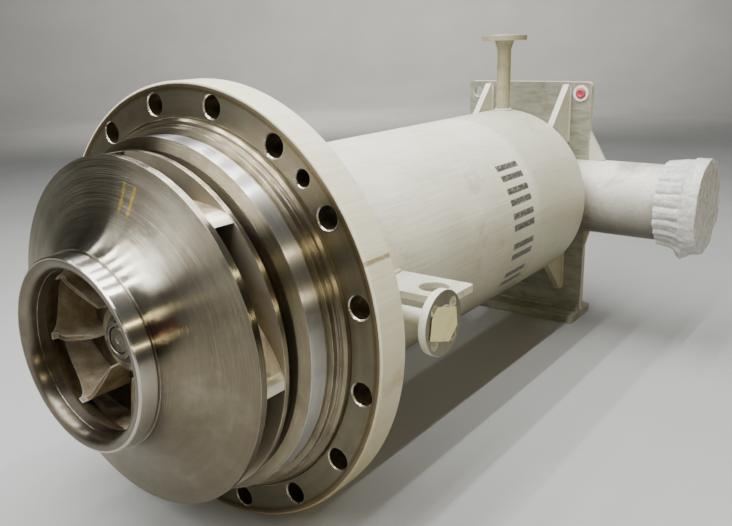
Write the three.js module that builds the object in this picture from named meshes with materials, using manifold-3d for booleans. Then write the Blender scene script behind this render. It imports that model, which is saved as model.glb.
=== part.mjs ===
// Impeller and motor unit of a sealed process pump, lying level as it rests on a workshop floor.
// Millimetres, +Z up, +X along the shaft from the impeller to the motor's rear end, -Y towards the nozzles.
// The origin is the middle of the rear foot's underside.
import * as THREE from 'three';
import { mergeVertices } from 'three/addons/utils/BufferGeometryUtils.js';
import Module from 'manifold-3d';

const wasm = await Module();
wasm.setup();

// Driving dimensions. A station is a distance along the shaft from the motor flange's front face.
const FLANGE_RADIUS = 350;
const FLANGE_THICKNESS = 56;
const FLANGE_CHAMFER = 4;
const FLANGE_BORE_RADIUS = 297;
const BOLT_CIRCLE_RADIUS = 320.5;
const BOLT_COUNT = 16;
const BOLT_HOLE_RADIUS = 16.5;
const FIRST_BOLT_ANGLE = 11.25;
const JACK_HOLE_RADIUS = 12;
const JACK_HOLE_ANGLES = [45, 225];

const COVER_FACE_STATION = -62;
const COVER_FACE_RADIUS = 258;
const COVER_CHAMFER_LENGTH = 7;
const COVER_REGISTER_RADIUS = 276;
const COVER_SHOULDER_STATION = -22;
const COVER_SHOULDER_RADIUS = 288;
const COVER_RIM_STATION = -9;
const COVER_BACK_STATION = 40;
const COVER_BORE_RADIUS = 52;

const NECK_RADIUS = 236;
const NECK_FILLET = 14;
const NECK_TAPER_LENGTH = 40;
const BARREL_RADIUS = 217;
const BARREL_START_STATION = 230;
const BARREL_END_STATION = 1037;
const BARREL_CHAMFER = 4;
const REAR_HOUSING_RADIUS = 160;
const REAR_HOUSING_END_STATION = 1275;
const REAR_COVER_RADIUS = 172;
const REAR_COVER_THICKNESS = 24;
const REAR_BOSS_RADIUS = 95;
const REAR_BOSS_LENGTH = 24;
const REAR_BOSS_DRAFT = 11;

const REAR_PLATE_STATION = 1155;
const REAR_PLATE_THICKNESS = 18;
const REAR_PLATE_HALF_WIDTH = 173;
const REAR_PLATE_TOP = 278;
const REAR_PLATE_CORNER = 14;
const LIFT_HOLE_RADIUS = 13;
const LIFT_HOLE_OFFSET = 147;
const LIFT_HOLE_HEIGHT = 250;
const LIFT_WASHER_RADIUS = 20;
const LIFT_WASHER_THICKNESS = 4;
const LIFT_PLUG_PROUD = 8;
const LIFT_PLUG_DEPTH = 6;
const GUSSET_OFFSET = 110;
const GUSSET_THICKNESS = 16;
const GUSSET_FOOT_HEIGHT = 100;
const GUSSET_DROP = 6;
const GUSSET_TIP_LENGTH = 10;
const GUSSET_FRONT_DROP = 58;
const FOOT_THICKNESS = 22;
const FOOT_LENGTH = 130;

const IMPELLER_RADIUS = 261;
const EYE_LIP_STATION = -224;
const EYE_OUTER_RADIUS = 139.5;
const EYE_INNER_RADIUS = 120;
const EYE_LIP_CHAMFER = 2;
const EYE_LIP_WIDTH = 1.5;
const EYE_MOUTH_DEPTH = 16;
const EYE_MOUTH_STEPS = 4;
const WEAR_SEAT_STATION = -205;
const WEAR_SEAT_RADIUS = 130;
const WEAR_SHOULDER_STATION = -196;
const NECK_OF_SHROUD_RADIUS = 143.5;
const FRONT_RIM_STATION = -134;
const SHROUD_RIM_THICKNESS = 11;
const BACK_RIM_STATION = -90;
const BACK_SHROUD_THICKNESS = 8;
const HUB_FRONT_STATION = -144;
const HUB_FRONT_RADIUS = 50;
const HUB_BACK_LENGTH = 12;
const HUB_BACK_RADIUS = 60;
const HUB_BORE_RADIUS = 26;
const HUB_CURVE_POINTS = 3;
const VANE_COUNT = 7;
const VANE_THICKNESS = 7;
const VANE_START_RADIUS = 58;
const VANE_ROOT_DEPTH = 5;
const VANE_START_STATION = -153;
const VANE_EYE_STATION = -176;
const VANE_SPIRAL_ANGLE = 26;
const VANE_BEND_OUTER_RADIUS = 130;
const VANE_BEND_INNER_RADIUS = 100;
const VANE_TIP_ANGLE = -6;
const VANE_STEPS = 12;

const SHAFT_RADIUS = 35;
const SHAFT_END_STATION = -154;
const SHAFT_THREAD_RADIUS = 20;
const SHAFT_CHAMFER = 2;
const BUSH_CLEARANCE = 0.8;
const BUSH_SETBACK = 2;
const WASHER_RADIUS = 38;
const WASHER_THICKNESS = 2.5;
const NUT_FRONT_STATION = -156;
const NUT_RADIUS = 29;

const NOZZLE_RADIUS = 93;
const NOZZLE_HEIGHT = -10;
const NOZZLE_FACE_REACH = 465;
const NOZZLE_ROOT_REACH = 30;
const NOZZLE_FLANGE_RADIUS = 110;
const NOZZLE_FLANGE_THICKNESS = 24;
const NOZZLE_WEB_THICKNESS = 12;
const NOZZLE_WEB_INSET = 3;
const NOZZLE_WEB_ROOT = 70;
const NOZZLE_WEBS = [
  { name: 'upper', side: 1, plateEdge: 158, reach: 224 },
  { name: 'lower', side: -1, plateEdge: 150, reach: 196 },
];
const FILM_THICKNESS = 1.5;
const FILM_SKIRT = 14;

const SMALL_NOZZLE_STATION = 127;
const SMALL_NOZZLE_HEIGHT = 11;
const SMALL_NOZZLE_FACE_REACH = 368;
const SMALL_NOZZLE_FLANGE_RADIUS = 49;
const SMALL_NOZZLE_BOLT_CIRCLE_RADIUS = 35;
const SMALL_NOZZLE_PIPE_RADIUS = 13.5;

const VENT_STATION = 1016;
const VENT_FACE_HEIGHT = 398;
const VENT_FLANGE_RADIUS = 54;
const VENT_BOLT_CIRCLE_RADIUS = 39.7;
const VENT_PIPE_RADIUS = 16.7;

const SMALL_FLANGE_THICKNESS = 14;
const SMALL_FLANGE_HOLE_RADIUS = 8;
const SMALL_FLANGE_HOLE_COUNT = 4;
const PIPE_ROOT_REACH = 150;

const SIDE_LUG_START = 155;
const SIDE_LUG_LENGTH = 86;
const SIDE_LUG_REACH = 351;
const SIDE_LUG_ROOT_REACH = 180;
const SIDE_LUG_TOP = 35;
const SIDE_LUG_THICKNESS = 12;
const SIDE_LUG_HOLE_RADIUS = 23;
const SIDE_LUG_HOLE_REACH = 306;

const FIT = 0.3;
const CUT_MARGIN = 5;
const RING_SEGMENTS = 60;
const SHAFT_SEGMENTS = 40;
const PIPE_SEGMENTS = 40;
const SMALL_PIPE_SEGMENTS = 20;
const HOLE_SEGMENTS = 12;
const CURVE_STEPS = 6;

// Everything derived from the driving dimensions.
const SHAFT_HEIGHT = FLANGE_RADIUS * Math.cos(Math.PI / RING_SEGMENTS);
const FOOT_STATION = REAR_PLATE_STATION + REAR_PLATE_THICKNESS / 2;
const NOZZLE_STATION = FOOT_STATION;

const finishes = {
  machined: { color: 0x8b8778, roughness: 0.38, metalness: 0.9 },
  polished: { color: 0xc9c7bd, roughness: 0.2, metalness: 1.0 },
  cast: { color: 0x9a9789, roughness: 0.5, metalness: 0.85 },
  cream: { color: 0xd9d7c8, roughness: 0.55, metalness: 0.0 },
  primer: { color: 0x9b9d90, roughness: 0.7, metalness: 0.1 },
  red: { color: 0xb04a50, roughness: 0.5, metalness: 0.0 },
  pale: { color: 0xd8cfc2, roughness: 0.5, metalness: 0.0 },
  film: { color: 0xdadbd8, roughness: 0.3, metalness: 0.0 },
};

// The shaft frame: x is the station, the axis is y = z = 0. One group moves it to the floor.
const unit = new THREE.Group();
unit.position.set(-FOOT_STATION, 0, SHAFT_HEIGHT);

function toSolid(geometry) {
  const bare = geometry.index ? geometry.toNonIndexed() : geometry;
  bare.deleteAttribute('normal');
  bare.deleteAttribute('uv');
  const merged = mergeVertices(bare, 1e-3);
  const corners = merged.index.array;
  const triangles = [];
  for (let i = 0; i < corners.length; i += 3) {
    const [a, b, c] = [corners[i], corners[i + 1], corners[i + 2]];
    if (a !== b && b !== c && c !== a) triangles.push(a, b, c);
  }
  return new wasm.Manifold(new wasm.Mesh({
    numProp: 3,
    vertProperties: new Float32Array(merged.attributes.position.array),
    triVerts: new Uint32Array(triangles),
  }));
}

function add(name, solid, finish, parent = unit) {
  const result = solid.getMesh();
  const geometry = new THREE.BufferGeometry();
  geometry.setAttribute('position', new THREE.BufferAttribute(new Float32Array(result.vertProperties), 3));
  geometry.setIndex(new THREE.BufferAttribute(new Uint32Array(result.triVerts), 1));
  geometry.computeVertexNormals();
  const mesh = new THREE.Mesh(geometry, new THREE.MeshStandardMaterial(finishes[finish]));
  mesh.name = name;
  parent.add(mesh);
  return mesh;
}

// A profile of [station, radius] points turned about the shaft, with a flat facet underneath.
function turned(profile, segments = RING_SEGMENTS) {
  const points = profile.map(([station, radius]) => new THREE.Vector2(radius, station));
  if (THREE.ShapeUtils.area(points) < 0) points.reverse();
  const onAxis = points.every((point) => point.x > 1e-6) ? [points[0].clone()] : [];
  const lathe = new THREE.LatheGeometry([...points, ...onAxis], segments, Math.PI / segments);
  lathe.rotateZ(-Math.PI / 2);
  return toSolid(lathe);
}

function disc(start, end, radius, segments = RING_SEGMENTS) {
  return turned([[start, 0], [start, radius], [end, radius], [end, 0]], segments);
}

function ring(start, end, inner, outer, segments = RING_SEGMENTS) {
  return turned([[start, inner], [start, outer], [end, outer], [end, inner]], segments);
}

function rod(length, radius, segments = HOLE_SEGMENTS) {
  return new THREE.CylinderGeometry(radius, radius, length, segments);
}

// Rods along the three axes, given by their ends along that axis.
function rodX(start, end, y, z, radius, segments) {
  const geometry = rod(end - start, radius, segments).rotateZ(-Math.PI / 2);
  return toSolid(geometry.translate((start + end) / 2, y, z));
}

function rodY(start, end, x, z, radius, segments) {
  return toSolid(rod(end - start, radius, segments).translate(x, (start + end) / 2, z));
}

function rodZ(start, end, x, y, radius, segments) {
  const geometry = rod(end - start, radius, segments).rotateX(Math.PI / 2);
  return toSolid(geometry.translate(x, y, (start + end) / 2));
}

function block(x0, x1, y0, y1, z0, z1) {
  const geometry = new THREE.BoxGeometry(x1 - x0, y1 - y0, z1 - z0);
  return toSolid(geometry.translate((x0 + x1) / 2, (y0 + y1) / 2, (z0 + z1) / 2));
}

function cut(base, ...tools) {
  return tools.reduce((body, tool) => body.subtract(tool), base);
}

// A flat outline of [across, up] points, as thick as given along x, from station start.
function plateX(outline, start, thickness) {
  const shape = new THREE.Shape(outline.map(([y, z]) => new THREE.Vector2(y, z)));
  const geometry = new THREE.ExtrudeGeometry(shape, { depth: thickness, bevelEnabled: false });
  geometry.applyMatrix4(new THREE.Matrix4().makeBasis(
    new THREE.Vector3(0, 1, 0), new THREE.Vector3(0, 0, 1), new THREE.Vector3(1, 0, 0)));
  return toSolid(geometry.translate(start, 0, 0));
}

// A flat outline of [station, up] points, centred on y with the given thickness.
function plateY(outline, y, thickness) {
  const shape = new THREE.Shape(outline.map(([x, z]) => new THREE.Vector2(x, z)));
  const geometry = new THREE.ExtrudeGeometry(shape, { depth: thickness, bevelEnabled: false });
  geometry.rotateX(Math.PI / 2);
  return toSolid(geometry.translate(0, y + thickness / 2, 0));
}

function curvePoints(from, control, to, steps) {
  const [start, middle, end] = [from, control, to].map(([a, b]) => new THREE.Vector2(a, b));
  return new THREE.QuadraticBezierCurve(start, middle, end).getPoints(steps).map((p) => [p.x, p.y]);
}

function polar(radius, degrees) {
  const angle = THREE.MathUtils.degToRad(degrees);
  return [-radius * Math.cos(angle), radius * Math.sin(angle)];
}

function buildMotorFlange() {
  let flange = turned([
    [0, FLANGE_BORE_RADIUS], [0, FLANGE_RADIUS - FLANGE_CHAMFER], [FLANGE_CHAMFER, FLANGE_RADIUS],
    [FLANGE_THICKNESS - FLANGE_CHAMFER, FLANGE_RADIUS], [FLANGE_THICKNESS, FLANGE_RADIUS - FLANGE_CHAMFER],
    [FLANGE_THICKNESS, FLANGE_BORE_RADIUS],
  ]);
  const back = FLANGE_THICKNESS + CUT_MARGIN;
  for (let i = 0; i < BOLT_COUNT; i += 1) {
    const [y, z] = polar(BOLT_CIRCLE_RADIUS, FIRST_BOLT_ANGLE + (i * 360) / BOLT_COUNT);
    flange = flange.subtract(rodX(-CUT_MARGIN, back, y, z, BOLT_HOLE_RADIUS));
  }
  for (const angle of JACK_HOLE_ANGLES) {
    const [y, z] = polar(BOLT_CIRCLE_RADIUS, angle);
    flange = flange.subtract(rodX(-CUT_MARGIN, back, y, z, JACK_HOLE_RADIUS));
  }
  add('motor_flange', flange, 'cream');
}

// The cover that closes the motor behind the impeller, with its polished register for the casing.
function buildCasingCover() {
  const outer = FLANGE_BORE_RADIUS - FIT;
  const back = COVER_BACK_STATION - FIT;
  const rimChamfer = 5;
  add('casing_cover', turned([
    [COVER_FACE_STATION, COVER_BORE_RADIUS], [COVER_FACE_STATION, COVER_FACE_RADIUS],
    [COVER_FACE_STATION + COVER_CHAMFER_LENGTH, COVER_REGISTER_RADIUS],
    [COVER_SHOULDER_STATION, COVER_REGISTER_RADIUS], [COVER_SHOULDER_STATION, COVER_SHOULDER_RADIUS],
    [COVER_RIM_STATION, COVER_SHOULDER_RADIUS], [COVER_RIM_STATION, outer - rimChamfer],
    [COVER_RIM_STATION + rimChamfer, outer], [back, outer], [back, COVER_BORE_RADIUS],
  ]), 'machined');
  add('shaft_bush', ring(
    COVER_FACE_STATION + BUSH_SETBACK, back, SHAFT_RADIUS + BUSH_CLEARANCE, COVER_BORE_RADIUS - FIT,
    SHAFT_SEGMENTS), 'polished');
}

// The tapered neck with the end plate that fills the flange's bore, or its space when given a margin.
function neck(margin) {
  const end = BARREL_START_STATION - FIT;
  const plateRadius = FLANGE_BORE_RADIUS - FIT;
  return turned([
    [COVER_BACK_STATION, 0], [COVER_BACK_STATION, plateRadius], [FLANGE_THICKNESS, plateRadius],
    [FLANGE_THICKNESS, NECK_RADIUS + NECK_FILLET + margin],
    [FLANGE_THICKNESS + NECK_FILLET, NECK_RADIUS + margin],
    [BARREL_START_STATION - NECK_TAPER_LENGTH, BARREL_RADIUS + margin],
    [end, BARREL_RADIUS + margin], [end, 0],
  ]);
}

function buildBarrel() {
  add('motor_neck', neck(0), 'cream');
  add('motor_barrel', turned([
    [BARREL_START_STATION, 0], [BARREL_START_STATION, BARREL_RADIUS],
    [BARREL_END_STATION - BARREL_CHAMFER, BARREL_RADIUS],
    [BARREL_END_STATION, BARREL_RADIUS - BARREL_CHAMFER], [BARREL_END_STATION, 0],
  ]), 'cream');
}

// The space that the rear housing takes up.
function housingSpace() {
  return disc(BARREL_END_STATION, REAR_HOUSING_END_STATION, REAR_HOUSING_RADIUS + FIT);
}

// The space that the side nozzle's pipe takes up.
function nozzleSpace() {
  const root = -NOZZLE_ROOT_REACH + FIT;
  return rodY(-NOZZLE_FACE_REACH, root, NOZZLE_STATION, NOZZLE_HEIGHT, NOZZLE_RADIUS + FIT, PIPE_SEGMENTS);
}

function buildRearHousing() {
  add('rear_housing', disc(
    BARREL_END_STATION + FIT, REAR_HOUSING_END_STATION, REAR_HOUSING_RADIUS), 'cream');
  const start = REAR_HOUSING_END_STATION + FIT;
  const face = start + REAR_COVER_THICKNESS;
  const bossFace = face + REAR_BOSS_LENGTH;
  add('rear_cover', turned([
    [start, 0], [start, REAR_COVER_RADIUS], [face, REAR_COVER_RADIUS],
    [face, REAR_BOSS_RADIUS], [bossFace, REAR_BOSS_RADIUS - REAR_BOSS_DRAFT], [bossFace, 0],
  ]), 'cream');
}

function buildRearPlate() {
  const half = REAR_PLATE_HALF_WIDTH;
  const floor = -SHAFT_HEIGHT + FOOT_THICKNESS + FIT;
  const corner = REAR_PLATE_CORNER;
  const outline = [
    [-half, floor], [half, floor], [half, REAR_PLATE_TOP - corner], [half - corner, REAR_PLATE_TOP],
    [-half + corner, REAR_PLATE_TOP], [-half, REAR_PLATE_TOP - corner],
  ];
  const start = REAR_PLATE_STATION - CUT_MARGIN;
  const end = REAR_PLATE_STATION + REAR_PLATE_THICKNESS + CUT_MARGIN;
  const plate = plateX(outline, REAR_PLATE_STATION, REAR_PLATE_THICKNESS);
  const holes = [-1, 1].map((side) => rodX(
    start, end, side * LIFT_HOLE_OFFSET, LIFT_HOLE_HEIGHT, LIFT_HOLE_RADIUS));
  add('rear_plate', cut(plate, housingSpace(), nozzleSpace(), ...holes), 'primer');
  add('rear_foot', block(
    FOOT_STATION - FOOT_LENGTH / 2, FOOT_STATION + FOOT_LENGTH / 2, -half, half,
    -SHAFT_HEIGHT, -SHAFT_HEIGHT + FOOT_THICKNESS), 'primer');
}

// The near lifting hole is closed by a plug through a flat washer.
function buildLiftPlug() {
  const [y, z] = [-LIFT_HOLE_OFFSET, LIFT_HOLE_HEIGHT];
  const back = REAR_PLATE_STATION - FIT;
  const front = back - LIFT_WASHER_THICKNESS;
  const washer = rodX(front, back, y, z, LIFT_WASHER_RADIUS, SMALL_PIPE_SEGMENTS);
  const bore = rodX(front - CUT_MARGIN, back + CUT_MARGIN, y, z, LIFT_HOLE_RADIUS);
  add('lift_hole_washer', cut(washer, bore), 'pale');
  add('lift_hole_plug', rodX(
    REAR_PLATE_STATION - LIFT_PLUG_PROUD, REAR_PLATE_STATION + LIFT_PLUG_DEPTH, y, z,
    LIFT_HOLE_RADIUS - FIT), 'red');
}

// Triangular stiffeners between the barrel's end face and the rear plate, above and below the housing.
function buildGussets() {
  const front = BARREL_END_STATION + FIT;
  const back = REAR_PLATE_STATION - FIT;
  const top = REAR_PLATE_TOP - GUSSET_DROP;
  for (const [side, sideName] of [[1, 'far'], [-1, 'near']]) {
    for (const [up, upName] of [[1, 'upper'], [-1, 'lower']]) {
      const outline = [
        [front, up * GUSSET_FOOT_HEIGHT], [back, up * GUSSET_FOOT_HEIGHT], [back, up * top],
        [back - GUSSET_TIP_LENGTH, up * top], [front, up * (BARREL_RADIUS - GUSSET_FRONT_DROP)],
      ];
      const gusset = plateY(outline, side * GUSSET_OFFSET, GUSSET_THICKNESS);
      add(`gusset_${upName}_${sideName}`, cut(gusset, housingSpace()), 'cream');
    }
  }
}

function buildSideNozzle() {
  const face = -NOZZLE_FACE_REACH;
  const flangeBack = face + NOZZLE_FLANGE_THICKNESS;
  const pipe = rodY(
    flangeBack + FIT, -NOZZLE_ROOT_REACH, NOZZLE_STATION, NOZZLE_HEIGHT, NOZZLE_RADIUS, PIPE_SEGMENTS);
  add('side_nozzle_pipe', cut(pipe, housingSpace()), 'cream');
  add('side_nozzle_flange', rodY(
    face, flangeBack, NOZZLE_STATION, NOZZLE_HEIGHT, NOZZLE_FLANGE_RADIUS, PIPE_SEGMENTS), 'cream');
  const edge = -REAR_PLATE_HALF_WIDTH - FIT;
  for (const { name, side, plateEdge, reach } of NOZZLE_WEBS) {
    const root = side * NOZZLE_WEB_ROOT;
    const outline = [[edge, side * plateEdge], [-reach, root], [edge, root]];
    const web = plateX(outline, REAR_PLATE_STATION + NOZZLE_WEB_INSET, NOZZLE_WEB_THICKNESS);
    add(`nozzle_web_${name}`, cut(web, nozzleSpace()), 'cream');
  }
}

// The wrapping over the side nozzle's flange: a thin cup over its face and rim, with a short skirt behind.
function buildNozzleFilm() {
  const face = -NOZZLE_FACE_REACH - FIT;
  const skirtEnd = -NOZZLE_FACE_REACH + NOZZLE_FLANGE_THICKNESS + FILM_SKIRT;
  const inner = NOZZLE_FLANGE_RADIUS + FIT;
  const outer = rodY(
    face - FILM_THICKNESS, skirtEnd, NOZZLE_STATION, NOZZLE_HEIGHT, inner + FILM_THICKNESS, PIPE_SEGMENTS);
  const hollow = rodY(face, skirtEnd + CUT_MARGIN, NOZZLE_STATION, NOZZLE_HEIGHT, inner, PIPE_SEGMENTS);
  add('side_nozzle_film', cut(outer, hollow), 'film');
}

function buildSmallNozzle() {
  const face = -SMALL_NOZZLE_FACE_REACH;
  const back = face + SMALL_FLANGE_THICKNESS;
  const [x, z] = [SMALL_NOZZLE_STATION, SMALL_NOZZLE_HEIGHT];
  let flange = rodY(face, back, x, z, SMALL_NOZZLE_FLANGE_RADIUS, PIPE_SEGMENTS);
  for (let i = 0; i < SMALL_FLANGE_HOLE_COUNT; i += 1) {
    const [across, up] = polar(SMALL_NOZZLE_BOLT_CIRCLE_RADIUS, 45 + i * 90);
    flange = flange.subtract(rodY(
      face - CUT_MARGIN, back + CUT_MARGIN, x + across, z + up, SMALL_FLANGE_HOLE_RADIUS));
  }
  const pipe = rodY(back + FIT, -PIPE_ROOT_REACH, x, z, SMALL_NOZZLE_PIPE_RADIUS, SMALL_PIPE_SEGMENTS);
  add('small_nozzle_flange', flange, 'cream');
  add('small_nozzle_pipe', cut(pipe, neck(FIT)), 'cream');
}

function buildVent() {
  const face = VENT_FACE_HEIGHT;
  const back = face - SMALL_FLANGE_THICKNESS;
  let flange = rodZ(back, face, VENT_STATION, 0, VENT_FLANGE_RADIUS, PIPE_SEGMENTS);
  for (let i = 0; i < SMALL_FLANGE_HOLE_COUNT; i += 1) {
    const [along, across] = polar(VENT_BOLT_CIRCLE_RADIUS, 45 + i * 90);
    flange = flange.subtract(rodZ(
      back - CUT_MARGIN, face + CUT_MARGIN, VENT_STATION + along, across, SMALL_FLANGE_HOLE_RADIUS));
  }
  const pipe = rodZ(PIPE_ROOT_REACH, back - FIT, VENT_STATION, 0, VENT_PIPE_RADIUS, SMALL_PIPE_SEGMENTS);
  const barrelSpace = disc(BARREL_START_STATION, BARREL_END_STATION + CUT_MARGIN, BARREL_RADIUS + FIT);
  add('vent_flange', flange, 'cream');
  add('vent_pipe', cut(pipe, barrelSpace), 'cream');
}

function buildSideLug() {
  const end = SIDE_LUG_START + SIDE_LUG_LENGTH;
  const bottom = SIDE_LUG_TOP - SIDE_LUG_THICKNESS;
  const lug = block(SIDE_LUG_START, end, -SIDE_LUG_REACH, -SIDE_LUG_ROOT_REACH, bottom, SIDE_LUG_TOP);
  const middle = (SIDE_LUG_START + end) / 2;
  const hole = rodZ(
    bottom - CUT_MARGIN, SIDE_LUG_TOP + CUT_MARGIN, middle, -SIDE_LUG_HOLE_REACH, SIDE_LUG_HOLE_RADIUS,
    SMALL_PIPE_SEGMENTS);
  const barrelSpace = disc(BARREL_START_STATION - CUT_MARGIN, end + CUT_MARGIN, BARREL_RADIUS + FIT);
  add('side_lug', cut(lug, hole, neck(FIT), barrelSpace), 'cream');
}

// The turning parts: a closed impeller of hub, two shrouds and spiral vanes, with its nut and shaft.
// The curves are the shrouds' meridional outlines, from the eye to the rim.
const frontInner = curvePoints(
  [-190, EYE_INNER_RADIUS], [-138, 128],
  [FRONT_RIM_STATION + SHROUD_RIM_THICKNESS, IMPELLER_RADIUS], CURVE_STEPS);
const frontOuter = curvePoints(
  [-192, NECK_OF_SHROUD_RADIUS], [-150, 150], [FRONT_RIM_STATION, IMPELLER_RADIUS], CURVE_STEPS);
const backFront = curvePoints(
  [HUB_FRONT_STATION, HUB_FRONT_RADIUS], [-100, 56], [BACK_RIM_STATION, IMPELLER_RADIUS], CURVE_STEPS);

function buildShrouds() {
  add('impeller_front_shroud', turned([
    [WEAR_SEAT_STATION, EYE_INNER_RADIUS], ...frontInner, ...[...frontOuter].reverse(),
    [WEAR_SHOULDER_STATION, NECK_OF_SHROUD_RADIUS], [WEAR_SHOULDER_STATION, WEAR_SEAT_RADIUS],
    [WEAR_SEAT_STATION, WEAR_SEAT_RADIUS],
  ]), 'cast');
  const bore = WEAR_SEAT_RADIUS + FIT;
  const lipOuter = EYE_OUTER_RADIUS - EYE_LIP_CHAMFER;
  const lipInner = lipOuter - EYE_LIP_WIDTH;
  const mouth = curvePoints(
    [EYE_LIP_STATION + EYE_MOUTH_DEPTH, EYE_INNER_RADIUS], [EYE_LIP_STATION, EYE_INNER_RADIUS],
    [EYE_LIP_STATION, lipInner], EYE_MOUTH_STEPS);
  add('impeller_wear_ring', turned([
    ...mouth, [EYE_LIP_STATION, lipOuter],
    [EYE_LIP_STATION + EYE_LIP_CHAMFER, EYE_OUTER_RADIUS], [WEAR_SHOULDER_STATION - FIT, EYE_OUTER_RADIUS],
    [WEAR_SHOULDER_STATION - FIT, bore], [WEAR_SEAT_STATION - FIT, bore],
    [WEAR_SEAT_STATION - FIT, EYE_INNER_RADIUS],
  ]), 'polished');
  const back = BACK_RIM_STATION + BACK_SHROUD_THICKNESS;
  const hubBack = back + HUB_BACK_LENGTH;
  const hubBore = HUB_BORE_RADIUS + FIT;
  const hubCurve = backFront.slice(0, HUB_CURVE_POINTS);
  const [seamStation, seamRadius] = hubCurve.at(-1);
  add('impeller_hub', turned([
    [HUB_FRONT_STATION, hubBore], ...hubCurve, [back, seamRadius], [back, HUB_BACK_RADIUS],
    [hubBack, HUB_BACK_RADIUS], [hubBack, hubBore],
  ]), 'cast');
  add('impeller_back_shroud', turned([
    [seamStation, seamRadius + FIT], ...backFront.slice(HUB_CURVE_POINTS), [back, IMPELLER_RADIUS],
    [back, seamRadius + FIT],
  ]), 'cast');
}

// How far a vane has turned at a radius, and how fast it turns there, in radians and per millimetre.
// It is a logarithmic spiral down to the bend, and runs straight towards the hub after it.
function vaneSweep(radius) {
  const pitch = Math.tan(THREE.MathUtils.degToRad(VANE_SPIRAL_ANGLE));
  if (radius >= VANE_BEND_OUTER_RADIUS) {
    return [Math.log(IMPELLER_RADIUS / radius) / pitch, 1 / pitch / radius];
  }
  const span = VANE_BEND_OUTER_RADIUS - VANE_BEND_INNER_RADIUS;
  const share = Math.max(0, radius - VANE_BEND_INNER_RADIUS) / span;
  const atBend = Math.log(IMPELLER_RADIUS / VANE_BEND_OUTER_RADIUS) / pitch;
  const bendRate = 1 / pitch / VANE_BEND_OUTER_RADIUS;
  return [atBend + (bendRate * span * (1 - share ** 3)) / 3, bendRate * share ** 2];
}

// A vane's outline across the shaft: a spiral of even thickness, from the rim inwards.
function vaneOutline(turn) {
  const outer = IMPELLER_RADIUS + CUT_MARGIN;
  const inner = VANE_START_RADIUS - CUT_MARGIN;
  const side = [];
  const otherSide = [];
  for (let i = 0; i <= VANE_STEPS; i += 1) {
    const radius = outer + ((inner - outer) * i) / VANE_STEPS;
    const [sweep, rate] = vaneSweep(radius);
    const degrees = VANE_TIP_ANGLE + turn + THREE.MathUtils.radToDeg(sweep);
    const half = THREE.MathUtils.radToDeg((VANE_THICKNESS / 2 / radius) * Math.hypot(1, radius * rate));
    side.push(polar(radius, degrees - half));
    otherSide.push(polar(radius, degrees + half));
  }
  return [...side, ...otherSide.reverse()];
}

function buildVanes() {
  const tip = IMPELLER_RADIUS - 1;
  const hubSide = backFront.filter(([, r]) => r > VANE_START_RADIUS - VANE_ROOT_DEPTH && r < tip).reverse();
  const passage = turned([
    [VANE_START_STATION, VANE_START_RADIUS], [VANE_EYE_STATION, EYE_INNER_RADIUS - FIT],
    ...frontInner.slice(1, -1).map(([s, r]) => [s + FIT, r - FIT]),
    [FRONT_RIM_STATION + SHROUD_RIM_THICKNESS + FIT, tip], [BACK_RIM_STATION - FIT, tip],
    ...hubSide.map(([s, r]) => [s - FIT, r + FIT]),
  ]);
  const start = EYE_LIP_STATION;
  const length = COVER_FACE_STATION - start;
  for (let i = 0; i < VANE_COUNT; i += 1) {
    const vane = plateX(vaneOutline((i * 360) / VANE_COUNT), start, length);
    add(`impeller_vane_${i + 1}`, vane.intersect(passage), 'cast');
  }
}

function buildShaft() {
  const shoulder = BACK_RIM_STATION + BACK_SHROUD_THICKNESS + HUB_BACK_LENGTH + FIT;
  const hubFront = HUB_FRONT_STATION - FIT;
  const end = COVER_BACK_STATION - FIT;
  add('shaft', turned([
    [SHAFT_END_STATION, 0], [SHAFT_END_STATION, SHAFT_THREAD_RADIUS - SHAFT_CHAMFER],
    [SHAFT_END_STATION + SHAFT_CHAMFER, SHAFT_THREAD_RADIUS], [hubFront, SHAFT_THREAD_RADIUS],
    [hubFront, HUB_BORE_RADIUS], [shoulder, HUB_BORE_RADIUS], [shoulder, SHAFT_RADIUS],
    [end, SHAFT_RADIUS], [end, 0],
  ], SHAFT_SEGMENTS), 'polished');
  const washerFront = hubFront - FIT - WASHER_THICKNESS;
  const bore = SHAFT_THREAD_RADIUS + FIT;
  add('impeller_washer', ring(washerFront, hubFront - FIT, bore, WASHER_RADIUS, SHAFT_SEGMENTS), 'machined');
  const nut = disc(NUT_FRONT_STATION, washerFront - FIT, NUT_RADIUS, SHAFT_SEGMENTS);
  const nutBore = disc(NUT_FRONT_STATION - CUT_MARGIN, washerFront + CUT_MARGIN, bore, SHAFT_SEGMENTS);
  add('impeller_nut', cut(nut, nutBore), 'polished');
}

buildMotorFlange();
buildCasingCover();
buildBarrel();
buildRearHousing();
buildRearPlate();
buildLiftPlug();
buildGussets();
buildSideNozzle();
buildNozzleFilm();
buildSmallNozzle();
buildVent();
buildSideLug();
buildShrouds();
buildVanes();
buildShaft();

const group = new THREE.Group();
group.name = 'pump_motor_unit';
group.add(unit);

export default group;
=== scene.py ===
"""Looks for a pump impeller on its canned motor unit, resting on a pale floor.

Sizes are millimetres: stations along the shaft from the big flange's face, radii from the shaft's line,
and angles in degrees about it, from the nozzle side (-Y) upwards. Blender's own units are metres.
"""

import logging
import math
from collections.abc import Callable, Sequence
from dataclasses import dataclass, field
from enum import Enum
from typing import ClassVar

import bpy
from mathutils import Matrix, Vector


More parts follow.
